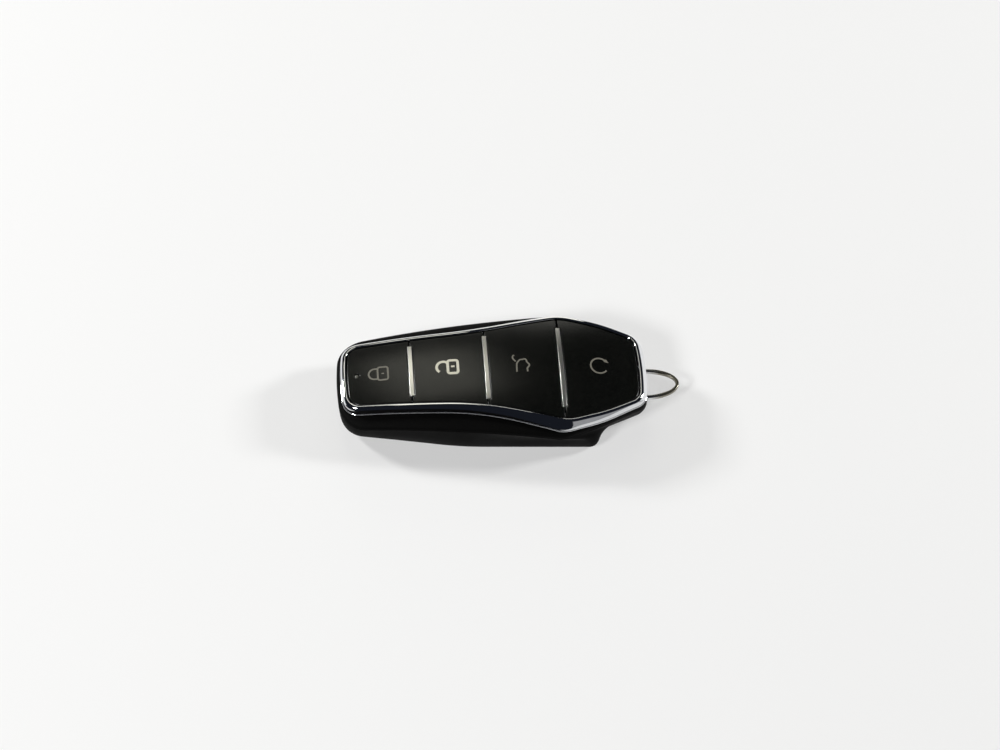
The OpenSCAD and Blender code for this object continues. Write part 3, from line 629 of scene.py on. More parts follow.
KEY_SATIN = moulded(
    "satin key plastic", (0.0012, 0.0014, 0.0011), (0.012, 0.013, 0.0105), 0.23, 0.05, 9000, 0.00001)
BLACK_SHELL = moulded(
    "black housing plastic", (0.0015, 0.0015, 0.0014), (0.003, 0.003, 0.0028), 0.62, 0.1, 7000, 0.00001)
BLACK_SHELL.node_tree.nodes["Principled BSDF"].inputs["Specular IOR Level"].default_value = 0.05
INNER = moulded("matt inner plastic", (0.04, 0.04, 0.043), (0.06, 0.06, 0.064), 0.6, 0.15, 5000, 0.00003)
RUBBER = moulded("soft rubber", (0.035, 0.035, 0.038), (0.05, 0.05, 0.053), 0.75, 0.12, 6000, 0.00003)
PACKAGE = moulded("chip package", (0.02, 0.02, 0.022), (0.035, 0.035, 0.037), 0.55, 0.1, 8000, 0.00002)
CHROME = plated("chrome plating", (0.80, 0.81, 0.83), (0.74, 0.75, 0.77), 0.035, 0.05)
SATIN_CHROME = plated("satin chrome", (0.82, 0.81, 0.77), (0.76, 0.75, 0.71), 0.28, 0.02)
# Loop plating that darkens from a little past the eye to the tip: painted shade for the bar's dark
# reflections there
LOOP_PLATING_WITH_PAINTED_SHADE = plating_with_painted_shade(
    "worn loop plating", (0.75, 0.75, 0.76), (0.25, 0.235, 0.19), EYE_START + 1, EYE_START + 4.5)
STEEL = plated("bare steel", (0.58, 0.585, 0.59), (0.5, 0.505, 0.51), 0.24, 0.14)
BRASS = plated("plated brass", (0.72, 0.56, 0.27), (0.62, 0.47, 0.22), 0.2, 0.12)
BOARD = moulded("board lacquer", (0.012, 0.09, 0.035), (0.018, 0.11, 0.045), 0.32, 0.1, 2500, 0.00001)
CLEAR = moulded("light guide", (0.1, 0.1, 0.085), (0.13, 0.13, 0.11), 0.15, 0.08, 3000, 0.000004)
FERRITE = moulded("ferrite core", (0.03, 0.028, 0.027), (0.05, 0.047, 0.045), 0.5, 0.1, 6000, 0.00001)
COPPER = plated("lacquered copper wire", (0.66, 0.30, 0.16), (0.55, 0.24, 0.13), 0.22, 0.1)
PRINT_BRIGHT = moulded(
    "bright symbol print", (0.60, 0.58, 0.47), (0.72, 0.70, 0.58), 0.5, 0.1, 12000, 0.000008)
PRINT_DULL = moulded(
    "dull symbol print", (0.155, 0.147, 0.12), (0.22, 0.208, 0.173), 0.5, 0.1, 12000, 0.000008)
SLOT_FINISH = {
    "housing_plastic": BLACK_SHELL, "key_plastic": KEY_SATIN, "chrome_trim": CHROME, "inner_plastic": INNER,
    "soft_rubber": RUBBER, "board_laminate": BOARD, "chip_plastic": PACKAGE, "steel": STEEL,
    "contact_brass": BRASS, "light_guide": CLEAR,
}
for part in frame["record"]["subparts"]:
    node = frame["nodes"][part["node"]]
    node.data.materials.clear()
    node.data.materials.append(SLOT_FINISH[part["material_slot"]])


# Chrome frame: a rounded lip, a ledge outside it, an upright wall and a rolled lower edge
def make_chrome_frame():
    corner, side, bead, edge_h, tuck = 0.4, 0.03, 0.12, 0.25, 0.4
    half = corner * sin(pi / 4)
    centre_d, low = corner - LIP_RISE, FRAME_H - SEAT_GAP
    bevel, wall = outline(inset(LIP, side + corner - half)), outline(inset(FOOT, bead))
    least = 0.02
    runs = [least if inside(bevel, *b) else max(least, off_line(bevel, b)) for b in wall]

    def ledge(t):
        """Ring part of the way from the lip's rounded corner down to the wall."""
        plan = [(a[0] + (b[0] - a[0]) * t, a[1] + (b[1] - a[1]) * t) for a, b in zip(bevel, wall)]
        fall = [LEDGE_SLOPE * t * run for run in runs]
        return [(x, y, face_z(x, y) - centre_d + half - f) for (x, y), f in zip(plan, fall)]

    rings = [on_face(FACE, low)]
    quarter = [pi / 2 * k / 4 for k in range(5)]
    rings += [on_face(inset(FOOT, bead * (1 - sin(a))), low - bead * (1 - cos(a))) for a in quarter]
    rings += [on_face(inset(FOOT, bead * (1 - cos(a))), low - edge_h - bead * sin(a)) for a in quarter]
    rings += [ledge(1), ledge(0.5)]
    for k in range(5):
        a = pi / 4 * (1 + k / 4)
        rings.append(on_face(inset(LIP, side + corner * (1 - cos(a))), centre_d - corner * sin(a)))
    for k in range(7):
        a = pi / 2 * k / 6
        rings.append(on_face(inset(FACE, -side - corner * (1 - sin(a))), centre_d - corner * cos(a)))
    rings.append(on_face(inset(FACE, -side), tuck))
    return piece("frame_of_chrome", Shell().hoop(rings), "case", CHROME, ["chrome_frame"], 27)


# Housing
def make_front_shell():
    tuck, soft, fullness, steps = 0.25, 0.12, 0.75, 10
    top, low = inset(FOOT, tuck), BELT_D - 0.1
    rings = [on_face(CARRIER_HOLE, BELT_D), on_face(inset(BELT, soft), BELT_D)]
    for k in range(steps + 1):
        a = pi / 2 * k / steps
        rings.append(on_face(between(top, BELT, cos(a) ** fullness), low - (low - FRAME_H) * sin(a)))
    rings.append(on_face(CARRIER_HOLE, FRAME_H))
    shell = Shell().hoop(rings)
    return piece("front_shell", shell, "case", BLACK_SHELL, ["front_housing"], 40)


HAIR = 1e-9


def eased(knots, z):
    """Corner list at height z on a smooth curve through (height, corner list) knots."""
    i = max(k for k in range(len(knots) - 1) if knots[k][0] <= z + HAIR)

    def slope(a, b, m, n):
        return (knots[b][1][m][n] - knots[a][1][m][n]) / (knots[b][0] - knots[a][0])

    def lean(k, m, n):
        if k in (0, len(knots) - 1):
            return slope(max(k - 1, 0), max(k, 1), m, n)
        before, after = slope(k - 1, k, m, n), slope(k, k + 1, m, n)
        return 0 if before * after <= 0 else 2 * before * after / (before + after)

    (z0, a), (z1, b) = knots[i], knots[i + 1]
    h = z1 - z0
    t = (z - z0) / h
    f = ((1 + 2 * t) * (1 - t) ** 2, t * (1 - t) ** 2, t * t * (3 - 2 * t), t * t * (t - 1))
    return [tuple(f[0] * a[m][n] + f[1] * h * lean(i, m, n) + f[2] * b[m][n] + f[3] * h * lean(i + 1, m, n)
                  for n in range(3)) for m in range(len(a))]


HULL = [(0.0, BASE), (COVER_T, CHINE), (BILGE_Z, BILGE), (BOARD_Z, WALL), (BELT_MEAN_Z, BELT)]
HULL_STEPS = (0, 0.2, 0.45, 0.75, COVER_T, 1.5, 2.0, 2.5, BILGE_Z, 3.7, 4.5, 5.2)


def hull_rings(top):
    """Rings of the rear housing's skin up to a height, or up to the belt that follows the face."""
    rings = [at_height(eased(HULL, z), z) for z in HULL_STEPS if z <= top + HAIR]
    if top > BOARD_Z:
        belt, steps, last = on_face(BELT, BELT_D + SEAM), 8, 0.9999
        for k in range(steps + 1):
            t = k / steps
            ring = outline(eased(HULL, BOARD_Z + (BELT_MEAN_Z - BOARD_Z) * min(t, last)))
            rings.append([(x, y, BOARD_Z + (b[2] - BOARD_Z) * t) for (x, y), b in zip(ring, belt)])
        rings.append(on_face(inset(BELT, MATE_W), BELT_D + SEAM))
    return rings


# Corners of the cavity, of the opening behind the back panel and of the cavity's narrow end towards the loop
CAVITY = [
    (CAVITY_START, BELT_END_HW - 3.1, 4.6),
    (BELT_MID_AT, BELT_MID_HW - 2.2, 200),
    (CAVITY_END, BELT_MID_HW - 1.65, 2),
]
OPENING = [
    (CAVITY_START + LEDGE_W, CAVITY[0][1] - LEDGE_W, 3.9),
    (BELT_MID_AT, CAVITY[1][1] - LEDGE_W, 200),
    (COVER_END - COVER_LAP, CAVITY[1][1] - LEDGE_W / 2, 2),
]
BOW = [
    (CAVITY_END - 6, 13.2, 0.5),
    (CAVITY_END + 1, 13.2, 1),
    (CAVITY_END + 8, 10.6, 3),
    (TAIL_END - 4.7, TAIL_HW, 1),
]
HEAD_START = end_x(CAVITY) + SLIDE_GAP
NOTCH_AT = HEAD_START + NOTCH_BACK
TANG_END = HEAD_START + TANG_LEN


def prism(c, z0, z1):
    return Shell().stack([at_height(c, z0), at_height(c, z1)])


def carve(obj, cutters, operation="DIFFERENCE", bevel=0):
    """Cuts shells out of an object one after another, breaks its edges and returns the plain result."""
    spare = []
    for k, cutter in enumerate(cutters):
        tool = new_object(f"cutter_{k}", mesh_of(f"cutter_{k}", cutter))
        spare.append(tool)
        cut = obj.modifiers.new("cut", "BOOLEAN")
        cut.operation = operation
        cut.solver = "EXACT"
        cut.object = tool
    if bevel:
        edges = obj.modifiers.new("edges", "BEVEL")
        edges.width = bevel * MM
        edges.segments = 2
        edges.angle_limit = radians(40)
    made = plain_mesh(obj)
    for tool in spare:
        bpy.data.objects.remove(tool)
    return made


def make_rear_shell():
    skin = new_object("rear_shell", mesh_of("rear_shell", Shell().stack(hull_rings(BELT_MEAN_Z))))
    outer, inner = inset(BELT, SEAL_IN), inset(BELT, SEAL_IN + SEAL_W)
    groove_d = 0.6
    deep, high = BELT_D + SEAM + groove_d, BELT_D - PAST
    groove = Shell().hoop([
        on_face(outer, deep), on_face(outer, high), on_face(inner, high), on_face(inner, deep)])
    w, t = HEAD_W / 2 + SLIDE_GAP, HEAD_T / 2 + SLIDE_GAP
    pad_x0, pad_x1 = (NOTCH_AT + s * (PAD[0] / 2 + SLIDE_GAP) for s in (-1, 1))
    stem_x0, stem_x1 = (NOTCH_AT + s * (STEM_W / 2 + SLIDE_GAP) for s in (-1, 1))
    pad_y, pad_run = -PAD_Y + SLIDE_GAP, PAD[1] + 1.7
    stem_back, stem_run = -STEM_Y - STEM_DEPTH, 1.5
    cutters = [
        prism(CAVITY, FLOOR_H, ABOVE), prism(BOW, BOARD_Z - SEAT_GAP, ABOVE),
        prism(OPENING, -PAST, FLOOR_H + PAST), groove,
        Shell().block(-WIDE, COVER_END, -WIDE, WIDE, -PAST, COVER_T + FIT),
        Shell().block(CAVITY_END - PAST, FAR, -w, w, KEY_Z - t, KEY_Z + t),
        Shell().block(pad_x0, pad_x1, pad_y - pad_run, pad_y, -PAST, PAD_Z + PAD[2] + SLIDE_GAP),
        Shell().block(stem_x0, stem_x1, stem_back - stem_run, -HEAD_W / 2, PAD_Z, KEY_Z + t),
        Shell().rod((NOTCH_AT, stem_back + SLIDE_GAP, KEY_Z), (NOTCH_AT, -SPRING_BACK_Y - SEAT_GAP, KEY_Z),
                    SPRING_POCKET_R),
    ]
    made = carve(skin, cutters)
    return finish_piece(made, "case", BLACK_SHELL, ["rear_housing"], 40)


def joined(obj, shell):
    """Adds closed shells to a piece's own mesh."""
    extra = mesh_of("extra", shell)
    bm = bmesh.new()
    bm.from_mesh(obj.data)
    bm.from_mesh(extra)
    bm.to_mesh(obj.data)
    bm.free()
    bpy.data.meshes.remove(extra)
    return obj


def make_back_panel():
    skin = new_object("back_panel", mesh_of("back_panel", Shell().stack(hull_rings(COVER_T))))
    made = carve(skin, [Shell().block(-WIDE, COVER_END - FIT, -WIDE, WIDE, -PAST, FLOOR_H)], "INTERSECT")
    rim_w, rim_gap, soft, pad_r = 1.2, 0.25, 0.15, 4.5
    rim, inner = inset(OPENING, FIT), inset(OPENING, FIT + rim_w)
    low, high, pad_top = COVER_T / 2, FLOOR_H - rim_gap, FLOOR_H - SEAT_GAP
    extra = Shell().hoop([
        at_height(inner, low), at_height(rim, low), at_height(rim, high - soft),
        at_height(inset(rim, soft), high), at_height(inset(rim, rim_w - soft), high),
        at_height(inner, high - soft)])
    pad = [(0, low), (pad_r, low), (pad_r, pad_top - soft), (pad_r - soft, pad_top), (0, pad_top)]
    extra.turned(CELL_AT, 0, pad, 64)
    return finish_piece(joined(made, extra), "cover", BLACK_SHELL, ["back_cover"], 40)


def make_rim_ring():
    """Rubber ring of rounded section in the groove under the front housing."""
    half_w, half_h, sides = 0.22, 0.17, 12
    middle, depth = SEAL_IN + SEAL_W / 2, BELT_D + SEAM + 0.275
    rings = []
    for k in range(sides):
        a = 2 * pi * k / sides
        rings.append(on_face(inset(BELT, middle - half_w * cos(a)), depth - half_h * sin(a)))
    return piece("rim_ring", Shell().hoop(rings), "case", RUBBER, ["rim_seal"], 60)


# Keys
def key_plan(i):
    """Plan of key i, anticlockwise, with notches for the divider strips beside it."""
    half = half_outline(KEYS)
    steps, clear = 12, 0.45

    def edge_y(x):
        for (ax, ay), (bx, by) in zip(half, half[1:]):
            if ax <= x <= bx and bx > ax:
                return ay + (by - ay) * (x - ax) / (bx - ax)

    def notch(x, n):
        return [(x, n * k / steps) for k in range(steps + 1)]

    low = DIVIDERS[i - 1] + SPLIT_GAP / 2 if i > 0 else -FAR
    high = DIVIDERS[i] - SPLIT_GAP / 2 if i < 3 else FAR
    upper = [p for p in half if low + clear < p[0] < high - clear]
    side = BAR_W / 2 + BAR_GAP - SPLIT_GAP / 2
    if i > 0:
        n = BAR_HALF[i - 1] + BAR_GAP
        upper = notch(low + side, n) + [(low, n), (low, edge_y(low))] + upper
    if i < 3:
        n = BAR_HALF[i] + BAR_GAP
        upper = upper + [(high, edge_y(high)), (high, n)] + notch(high - side, n)[::-1]
    lower = [(x, -y) for x, y in upper if y > 0]
    return lower + upper[::-1]


def make_key(i, word):
    shell = Shell()
    hole = None
    if i == 0:
        clockwise = [-2 * pi * k / 32 for k in range(32)]
        hole = [(LAMP_AT + LAMP_HOLE_R * cos(a), LAMP_HOLE_R * sin(a)) for a in clockwise]
    edge_r, soft = 0.2, 0.15
    shell.slab(key_plan(i), hole, edge_r, 0.0, CAP_T)
    x = KEY_X[i]
    mid = face_z(x, 0) - CAP_T / 2
    post = [(0, POST_Z), (POST_R - soft, POST_Z), (POST_R, POST_Z + soft), (POST_R, mid), (0, mid)]
    shell.turned(x, 0, post)
    for y in (-PEG_Y[i], PEG_Y[i]):
        top = face_z(x, y) - FRAME_H - SEAT_GAP - CARRIER_T - COLLAR_GAP
        low, root = top - COLLAR_H, face_z(x, y) - CAP_T / 2
        shell.turned(x, y, [(0, low), (COLLAR_R - 0.35, low), (COLLAR_R, top - 0.1), (COLLAR_R, top),
                            (PEG_R, top), (PEG_R, root), (0, root)])
    return piece(f"{word}_cap", shell, f"{word}_key", KEY_SATIN, [f"key_{word}"], 40)


def make_divider(i):
    x, w, h = DIVIDERS[i], BAR_W / 2, BAR_HALF[i]
    steps, edge_r, mesh_step = 30, 0.08, 0.4
    plan = [(x + w, -h + 2 * h * k / steps) for k in range(steps + 1)]
    plan += [(x - w, h - 2 * h * k / steps) for k in range(steps + 1)]
    shell = Shell().slab(plan, None, edge_r, -BAR_RISE, FRAME_H, mesh_step)
    name, node = f"divider_strip_{i + 1}", f"divider_{i + 1}"
    return piece(name, shell, "case", SATIN_CHROME, [node], 50)


# Geometry Nodes trees
def node_tree(name, inputs):
    tree = bpy.data.node_groups.new(name, "GeometryNodeTree")
    tree.interface.new_socket("Geometry", in_out="INPUT", socket_type="NodeSocketGeometry")
    for label, kind, value in inputs:
        socket = tree.interface.new_socket(label, in_out="INPUT", socket_type=kind)
        if value is not None:
            socket.default_value = value
    tree.interface.new_socket("Geometry", in_out="OUTPUT", socket_type="NodeSocketGeometry")
    given = tree.nodes.new("NodeGroupInput").outputs
    return tree, given, tree.nodes.new("NodeGroupOutput").inputs["Geometry"]


def close_tree(tree, made, material, end):
    """Ends a tree in Realize Instances and Set Material."""
    real = add(tree, "GeometryNodeRealizeInstances", Geometry=made)
    painted = add(tree, "GeometryNodeSetMaterial", Geometry=real.outputs[0], Material=material)
    tree.links.new(painted.outputs[0], end)


def sweep(tree, curve, profile, scale=None):
    """A profile carried along a curve, with closed ends."""
    n = add(tree, "GeometryNodeCurveToMesh", Curve=curve, Profile_Curve=profile, Fill_Caps=True)
    if scale is not None and "Scale" in n.inputs:
        tree.links.new(scale, n.inputs["Scale"])
    return n.outputs[0]


def run_tree(name, data, tree, values):
    """Puts a tree on an object with its input values and returns the plain mesh object."""
    obj = new_object(name, data)
    modifier = obj.modifiers.new("made", "NODES")
    modifier.node_group = tree
    for item in tree.interface.items_tree:
        if item.in_out == "INPUT" and item.name in values:
            modifier[item.identifier] = values[item.name]
    return plain_mesh(obj)


def make_print_tree():
    """Flat printed line along a curve, laid on the barrel-shaped key face."""
    tree, given, end = node_tree("printed line on the key face", [
        ("Line width", "NodeSocketFloat", 0.0004), ("Print depth", "NodeSocketFloat", 0.00003),
        ("Corner radius", "NodeSocketFloat", 0.0002), ("Lift", "NodeSocketFloat", 0.00001),
        ("Finish", "NodeSocketMaterial", None)])
    soft = add(tree, "GeometryNodeFilletCurve", mode="POLY", Curve=given["Geometry"], Count=4,
               Radius=given["Corner radius"], Limit_Radius=True)
    upright = add(tree, "GeometryNodeSetCurveNormal", mode="Z_UP", Curve=soft.outputs[0])
    strip = add(tree, "GeometryNodeCurvePrimitiveQuadrilateral",
                Width=given["Line width"], Height=given["Print depth"])
    share = add(tree, "GeometryNodeInputRadius")
    line = sweep(tree, upright.outputs[0], strip.outputs[0], share.outputs[0])
    at = add(tree, "ShaderNodeSeparateXYZ", Vector=add(tree, "GeometryNodeInputPosition").outputs[0])
    along = math(tree, "ADD", at.outputs[0], (SHIFT - CREST_AT) * MM)

    def square(value):
        return math(tree, "POWER", value, 2.0)

    across = math(tree, "SQRT", math(tree, "SUBTRACT", (CROWN_R * MM) ** 2, square(at.outputs[1])))
    reach = math(tree, "ADD", across, (ARCH_R - CROWN_R) * MM)
    level = math(tree, "SQRT", math(tree, "SUBTRACT", square(reach), square(along)))
    height = math(tree, "ADD", level, (CREST_H - ARCH_R) * MM)
    up = add(tree, "ShaderNodeCombineXYZ", Z=math(tree, "ADD", height, given["Lift"]))
    laid = add(tree, "GeometryNodeSetPosition", Geometry=line, Offset=up.outputs[0])
    close_tree(tree, laid.outputs[0], given["Finish"], end)
    return tree


def make_rod_tree():
    """Flat-sided bar with rounded edges along a curve, thinner where the curve's radius is smaller."""
    tree, given, end = node_tree("bar along a curve", [
        ("Bar width", "NodeSocketFloat", 0.001), ("Bar height", "NodeSocketFloat", 0.0012),
        ("Edge radius", "NodeSocketFloat", 0.0003), ("Finish", "NodeSocketMaterial", None)])
    upright = add(tree, "GeometryNodeSetCurveNormal", mode="Z_UP", Curve=given["Geometry"])
    box = add(tree, "GeometryNodeCurvePrimitiveQuadrilateral",
              Width=given["Bar width"], Height=given["Bar height"])
    soft = add(tree, "GeometryNodeFilletCurve", mode="POLY", Curve=box.outputs[0], Count=5,
               Radius=given["Edge radius"])
    thin = add(tree, "GeometryNodeInputRadius")
    close_tree(tree, sweep(tree, upright.outputs[0], soft.outputs[0], thin.outputs[0]), given["Finish"], end)
    return tree


def make_helix_tree():
    """Round wire wound into an even helix along Z."""
    tree, given, end = node_tree("wound wire", [
        ("Turns", "NodeSocketFloat", 4.0), ("Coil radius", "NodeSocketFloat", 0.001),
        ("Coil length", "NodeSocketFloat", 0.003), ("Wire radius", "NodeSocketFloat", 0.0002),
        ("Finish", "NodeSocketMaterial", None)])
    spiral = add(tree, "GeometryNodeCurveSpiral", Resolution=28, Rotations=given["Turns"],
                 Start_Radius=given["Coil radius"], End_Radius=given["Coil radius"],
                 Height=given["Coil length"])
    ring = add(tree, "GeometryNodeCurvePrimitiveCircle", Resolution=12, Radius=given["Wire radius"])
    close_tree(tree, sweep(tree, spiral.outputs[0], ring.outputs[0]), given["Finish"], end)
    return tree


def make_repeat_tree():
    """The same small part at each point of a mesh."""
    tree, given, end = node_tree("part at each point", [
        ("Part", "NodeSocketObject", None), ("Finish", "NodeSocketMaterial", None)])
    part = add(tree, "GeometryNodeObjectInfo", Object=given["Part"])
    copies = add(tree, "GeometryNodeInstanceOnPoints",
                 Points=given["Geometry"], Instance=part.outputs["Geometry"])
    close_tree(tree, copies.outputs[0], given["Finish"], end)
    return tree


def curve_of(name, lines):
    """A curve of straight-sided splines from (points, closed, radii) in millimetres."""
    data = bpy.data.curves.new(name, "CURVE")
    data.dimensions = "3D"
    for points, closed, radii in lines:
        spline = data.splines.new("POLY")
        spline.points.add(len(points) - 1)
        for p, (x, y, z), r in zip(spline.points, points, radii or [1.0] * len(points)):
            p.co = ((x - SHIFT) * MM, y * MM, z * MM, 1)
            p.radius = r
        spline.use_cyclic_u = closed
    return data


PRINT_TREE = make_print_tree()
ROD_TREE = make_rod_tree()
HELIX_TREE = make_helix_tree()
REPEAT_TREE = make_repeat_tree()


# Symbols printed on the keys
def arc_line(x, y, r, start, stop, steps=24):
    angles = [radians(start + (stop - start) * k / steps) for k in range(steps + 1)]
    return [(x + r * cos(a), y + r * sin(a)) for a in angles]


def round_box(x0, x1, y0, y1, r):
    corners = ((x1 - r, y1 - r, 0), (x0 + r, y1 - r, 90), (x0 + r, y0 + r, 180), (x1 - r, y0 + r, 270))
    return [p for x, y, a in corners for p in arc_line(x, y, r, a, a + 90, 8)]


def make_symbol(word, lines, width, finish):
    """Printed lines of one key, from (points, closed, width shares)."""
    flat = [([(x, y, 0) for x, y in points], closed, shares) for points, closed, shares in lines]
    obj = run_tree(f"{word}_symbol", curve_of(f"{word}_symbol", flat), PRINT_TREE, {
        "Line width": width * MM, "Print depth": 0.03 * MM, "Corner radius": 0.18 * MM, "Lift": 0.012 * MM,
        "Finish": finish})
    return finish_piece(obj, f"{word}_key", finish)


def make_symbols():
    x = KEY_X[0]
    shackle = [(x - 0.1, 1.37)] + arc_line(x - 0.84, -0.1, 1.47, 90, 270) + [(x - 0.1, -1.57)]
    make_symbol("lock", [
        (round_box(x - 0.1, x + 2.4, -1.95, 1.75, 0.55), True, None),
        (shackle, False, None),
        ([(x + 0.85, -0.12), (x + 1.45, -0.12)], False, [0.8, 0.8])], 0.42, PRINT_DULL)
    x = KEY_X[1]
    make_symbol("unlock", [
        (round_box(x + 0.15, x + 2.62, -1.68, 2.05, 0.55), True, None),
        ([(x + 0.15, 1.25)] + arc_line(x - 0.95, 0.15, 1.63, 62, 232), False, None),
        ([(x + 0.95, 0.26), (x + 1.8, 0.26)], False, [0.75, 0.75])], 0.66, PRINT_BRIGHT)
    x = KEY_X[2]
    rear = [(-1.39, -2.0), (-1.3, 0.2), (-1.08, 0.77), (-0.45, 1.5), (0.11, 1.55), (0.88, 1.74), (1.16, 1.37),
            (1.24, 0.84), (1.8, 0.17), (1.79, -0.29), (1.26, -0.96), (1.27, -1.94)]
    lid = [(-1.7, 2.87), (-2.0, 2.75), (-2.17, 2.5), (-2.2, 2.0), (-1.95, 1.52), (-1.49, 1.03)]
    lines = [([(x + u, v) for u, v in line], False, None) for line in (rear, lid)]
    make_symbol("boot", lines, 0.38, PRINT_DULL)
    x = KEY_X[3]
    ring = arc_line(x, 0, 2.15, -40, -306, 40)
    (ax, ay), (bx, by) = ring[-1], arc_line(x, 0, 2.5, 21, 21, 1)[0]
    head = [(ax + (bx - ax) * t, ay + (by - ay) * t) for t in (0, 0.3, 1)]
    make_symbol("start", [(ring, False, None), (head, False, [1.0, 2.0, 0.3])], 0.42, PRINT_DULL)


# Light pipe under the lock key
def make_light_pipe():
    pipe_r, tip_r, flange_r = 0.6, 0.5, 1.0
    flange_t, taper, dome_h, dip, gap = 0.5, 0.4, 0.22, 0.15, 0.4
    top = face_z(LAMP_AT, 0) - dip
    under = face_z(LAMP_AT, 0) - FRAME_H - SEAT_GAP - CARRIER_T - gap
    foot, low = BOARD_TOP + LAMP_H + SEAT_GAP, under - flange_t
    stem = [(0, foot), (pipe_r, foot), (pipe_r, low), (flange_r, low), (flange_r, under), (pipe_r, under)]
    stem.append((tip_r, under + taper))
    quarter = [pi / 2 * k / 6 for k in range(7)]
    dome = [(tip_r * cos(a), top - dome_h + dome_h * sin(a)) for a in quarter]
    shell = Shell().turned(LAMP_AT, 0, stem + dome)
    return piece("indicator_pipe", shell, "case", CLEAR, ["light_pipe"], 50)


# Emergency key's head with its loop, and the release slider with its spring
def make_key_grip():
    w, low, high = HEAD_W / 2, KEY_Z - HEAD_T / 2, KEY_Z + HEAD_T / 2
    shell = Shell().block(HEAD_START, EYE_START, -w, w, low, high)
    made = carve(new_object("key_grip", mesh_of("key_grip", shell)), [
        Shell().block(HEAD_START - PAST, TANG_END, -BLADE_W / 2, BLADE_W / 2,
                      KEY_Z - BLADE_T / 2, KEY_Z + BLADE_T / 2),
        Shell().block(NOTCH_AT - NOTCH_W / 2, NOTCH_AT + NOTCH_W / 2,
                      -w - PAST, -w + PAWL_BITE + SLIDE_GAP, low - PAST, high + PAST),
    ], bevel=0.12)
    finish_piece(made, "emergency_key", CHROME, ["key_head"], 40)
    reach = LOOP_TIP - EYE_START - LOOP_TIP_BAR / 2
    side = (LOOP_W - LOOP_BAR) / 2
    z = high - LOOP_T / 2
    steps = 48
    angles = [pi / 2 - pi * k / steps for k in range(steps + 1)]
    line = [(EYE_START - LOOP_ROOT, side, z)]
    line += [(EYE_START + reach * cos(a), side * sin(a), z) for a in angles]
    line.append((EYE_START - LOOP_ROOT, -side, z))
    thin = [1.0] + [1 - (1 - LOOP_TIP_BAR / LOOP_BAR) * cos(a) ** 2 for a in angles] + [1.0]
    loop = run_tree("ring_loop", curve_of("ring_loop", [(line, False, thin)]), ROD_TREE, {
        "Bar width": LOOP_BAR * MM, "Bar height": LOOP_T * MM, "Edge radius": 0.34 * MM,
        "Finish": LOOP_PLATING_WITH_PAINTED_SHADE})
    return finish_piece(loop, "emergency_key", LOOP_PLATING_WITH_PAINTED_SHADE, (), 60)


def make_release():
    source = frame["nodes"]["release_slider"]
    mesh = source.data.copy()
    mesh.transform(source.matrix_world)
    bm = bmesh.new()
    bm.from_mesh(mesh)
    bmesh.ops.remove_doubles(bm, verts=bm.verts, dist=1e-7)
    bmesh.ops.dissolve_limit(bm, angle_limit=radians(1), verts=bm.verts, edges=bm.edges)
    bm.to_mesh(mesh)
    bm.free()
    made = carve(new_object("release_thumb", mesh), [], bevel=0.07)
    finish_piece(made, "release", BLACK_SHELL, ["release_slider"], 40)
    coil_r, wire_r = (SPRING_D - SPRING_WIRE) / 2, SPRING_WIRE / 2
    coil = wound("release_coil", SPRING_TURNS, coil_r, SPRING_LEN, wire_r, STEEL)
    start = -SPRING_BACK_Y + SPRING_WIRE / 2 + SEAT_GAP
    place = Matrix.Translation(((NOTCH_AT - SHIFT) * MM, start * MM, KEY_Z * MM))
    coil.data.transform(place @ Matrix.Rotation(-pi / 2, 4, "X"))
    finish_piece(coil, "case", STEEL, ["release_spring"], 60)
    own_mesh(coil)


def wound(name, turns, radius, length, wire, finish):
    return run_tree(name, bpy.data.meshes.new(name), HELIX_TREE, {
        "Turns": float(turns), "Coil radius": radius * MM, "Coil length": length * MM,
        "Wire radius": wire * MM, "Finish": finish})


# Rubber mat: a sheet with a dome under each key
def make_mat():
    shell = Shell().block(KEY_X[0] - MAT_END, KEY_X[3] + MAT_END, -MAT_HW, MAT_HW, MAT_Z, MAT_Z + MAT_T)
    sheet = new_object("mat_sheet", mesh_of("mat_sheet", shell))
    low, high, hole_r = MAT_Z - PAST, MAT_Z + 2, 2.0
    holes = [Shell().turned(x, 0, [(0, low), (hole_r, low), (hole_r, high), (0, high)]) for x in KEY_X]
    finish_piece(carve(sheet, holes, bevel=0.1), "case", RUBBER, ["key_mat"], 40)
    top = MAT_Z + MAT_T + BUMP_H
    for x, word in zip(KEY_X, WORDS):
        shell = Shell().turned(x, 0, [
            (0, MAT_Z), (1.95, MAT_Z), (1.95, MAT_Z + 0.2), (1.75, MAT_Z + 0.3),
            (1.6, top - 0.25), (1.52, top - 0.08), (1.35, top), (0, top)])
        dome = piece(f"{word}_dome", shell, "case", RUBBER, (), 60)
        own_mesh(dome)


# Receiver coil and screws on the board
def make_receiver():
    half_len, half_w, height = 4.5, 2, 2
    axis_y, end_t, core_r = 6.4, 0.8, 0.68
    x0, x1 = DIVIDERS[1] - half_len, DIVIDERS[1] + half_len
    y0, y1, z0, z1 = axis_y - half_w, axis_y + half_w, BOARD_TOP, BOARD_TOP + height
    axis_z = z0 + height / 2
    shell = Shell().block(x0, x0 + end_t, y0, y1, z0, z1).block(x1 - end_t, x1, y0, y1, z0, z1)
    shell.rod((x0 + end_t / 2, axis_y, axis_z), (x1 - end_t / 2, axis_y, axis_z), core_r)
    made = carve(new_object("coil_former", mesh_of("coil_former", shell)), [], bevel=0.1)
    finish_piece(made, "case", FERRITE, ["receiver_coil"], 40)
    turns, coil_r, coil_len, wire_r, start = 26, 0.8, 7.1, 0.12, x0 + 0.95
    wire = wound("coil_wire", turns, coil_r, coil_len, wire_r, COPPER)
    place = Matrix.Translation(((start - SHIFT) * MM, axis_y * MM, axis_z * MM))
    wire.data.transform(place @ Matrix.Rotation(pi / 2, 4, "Y"))
    finish_piece(wire, "case", COPPER, (), 60)


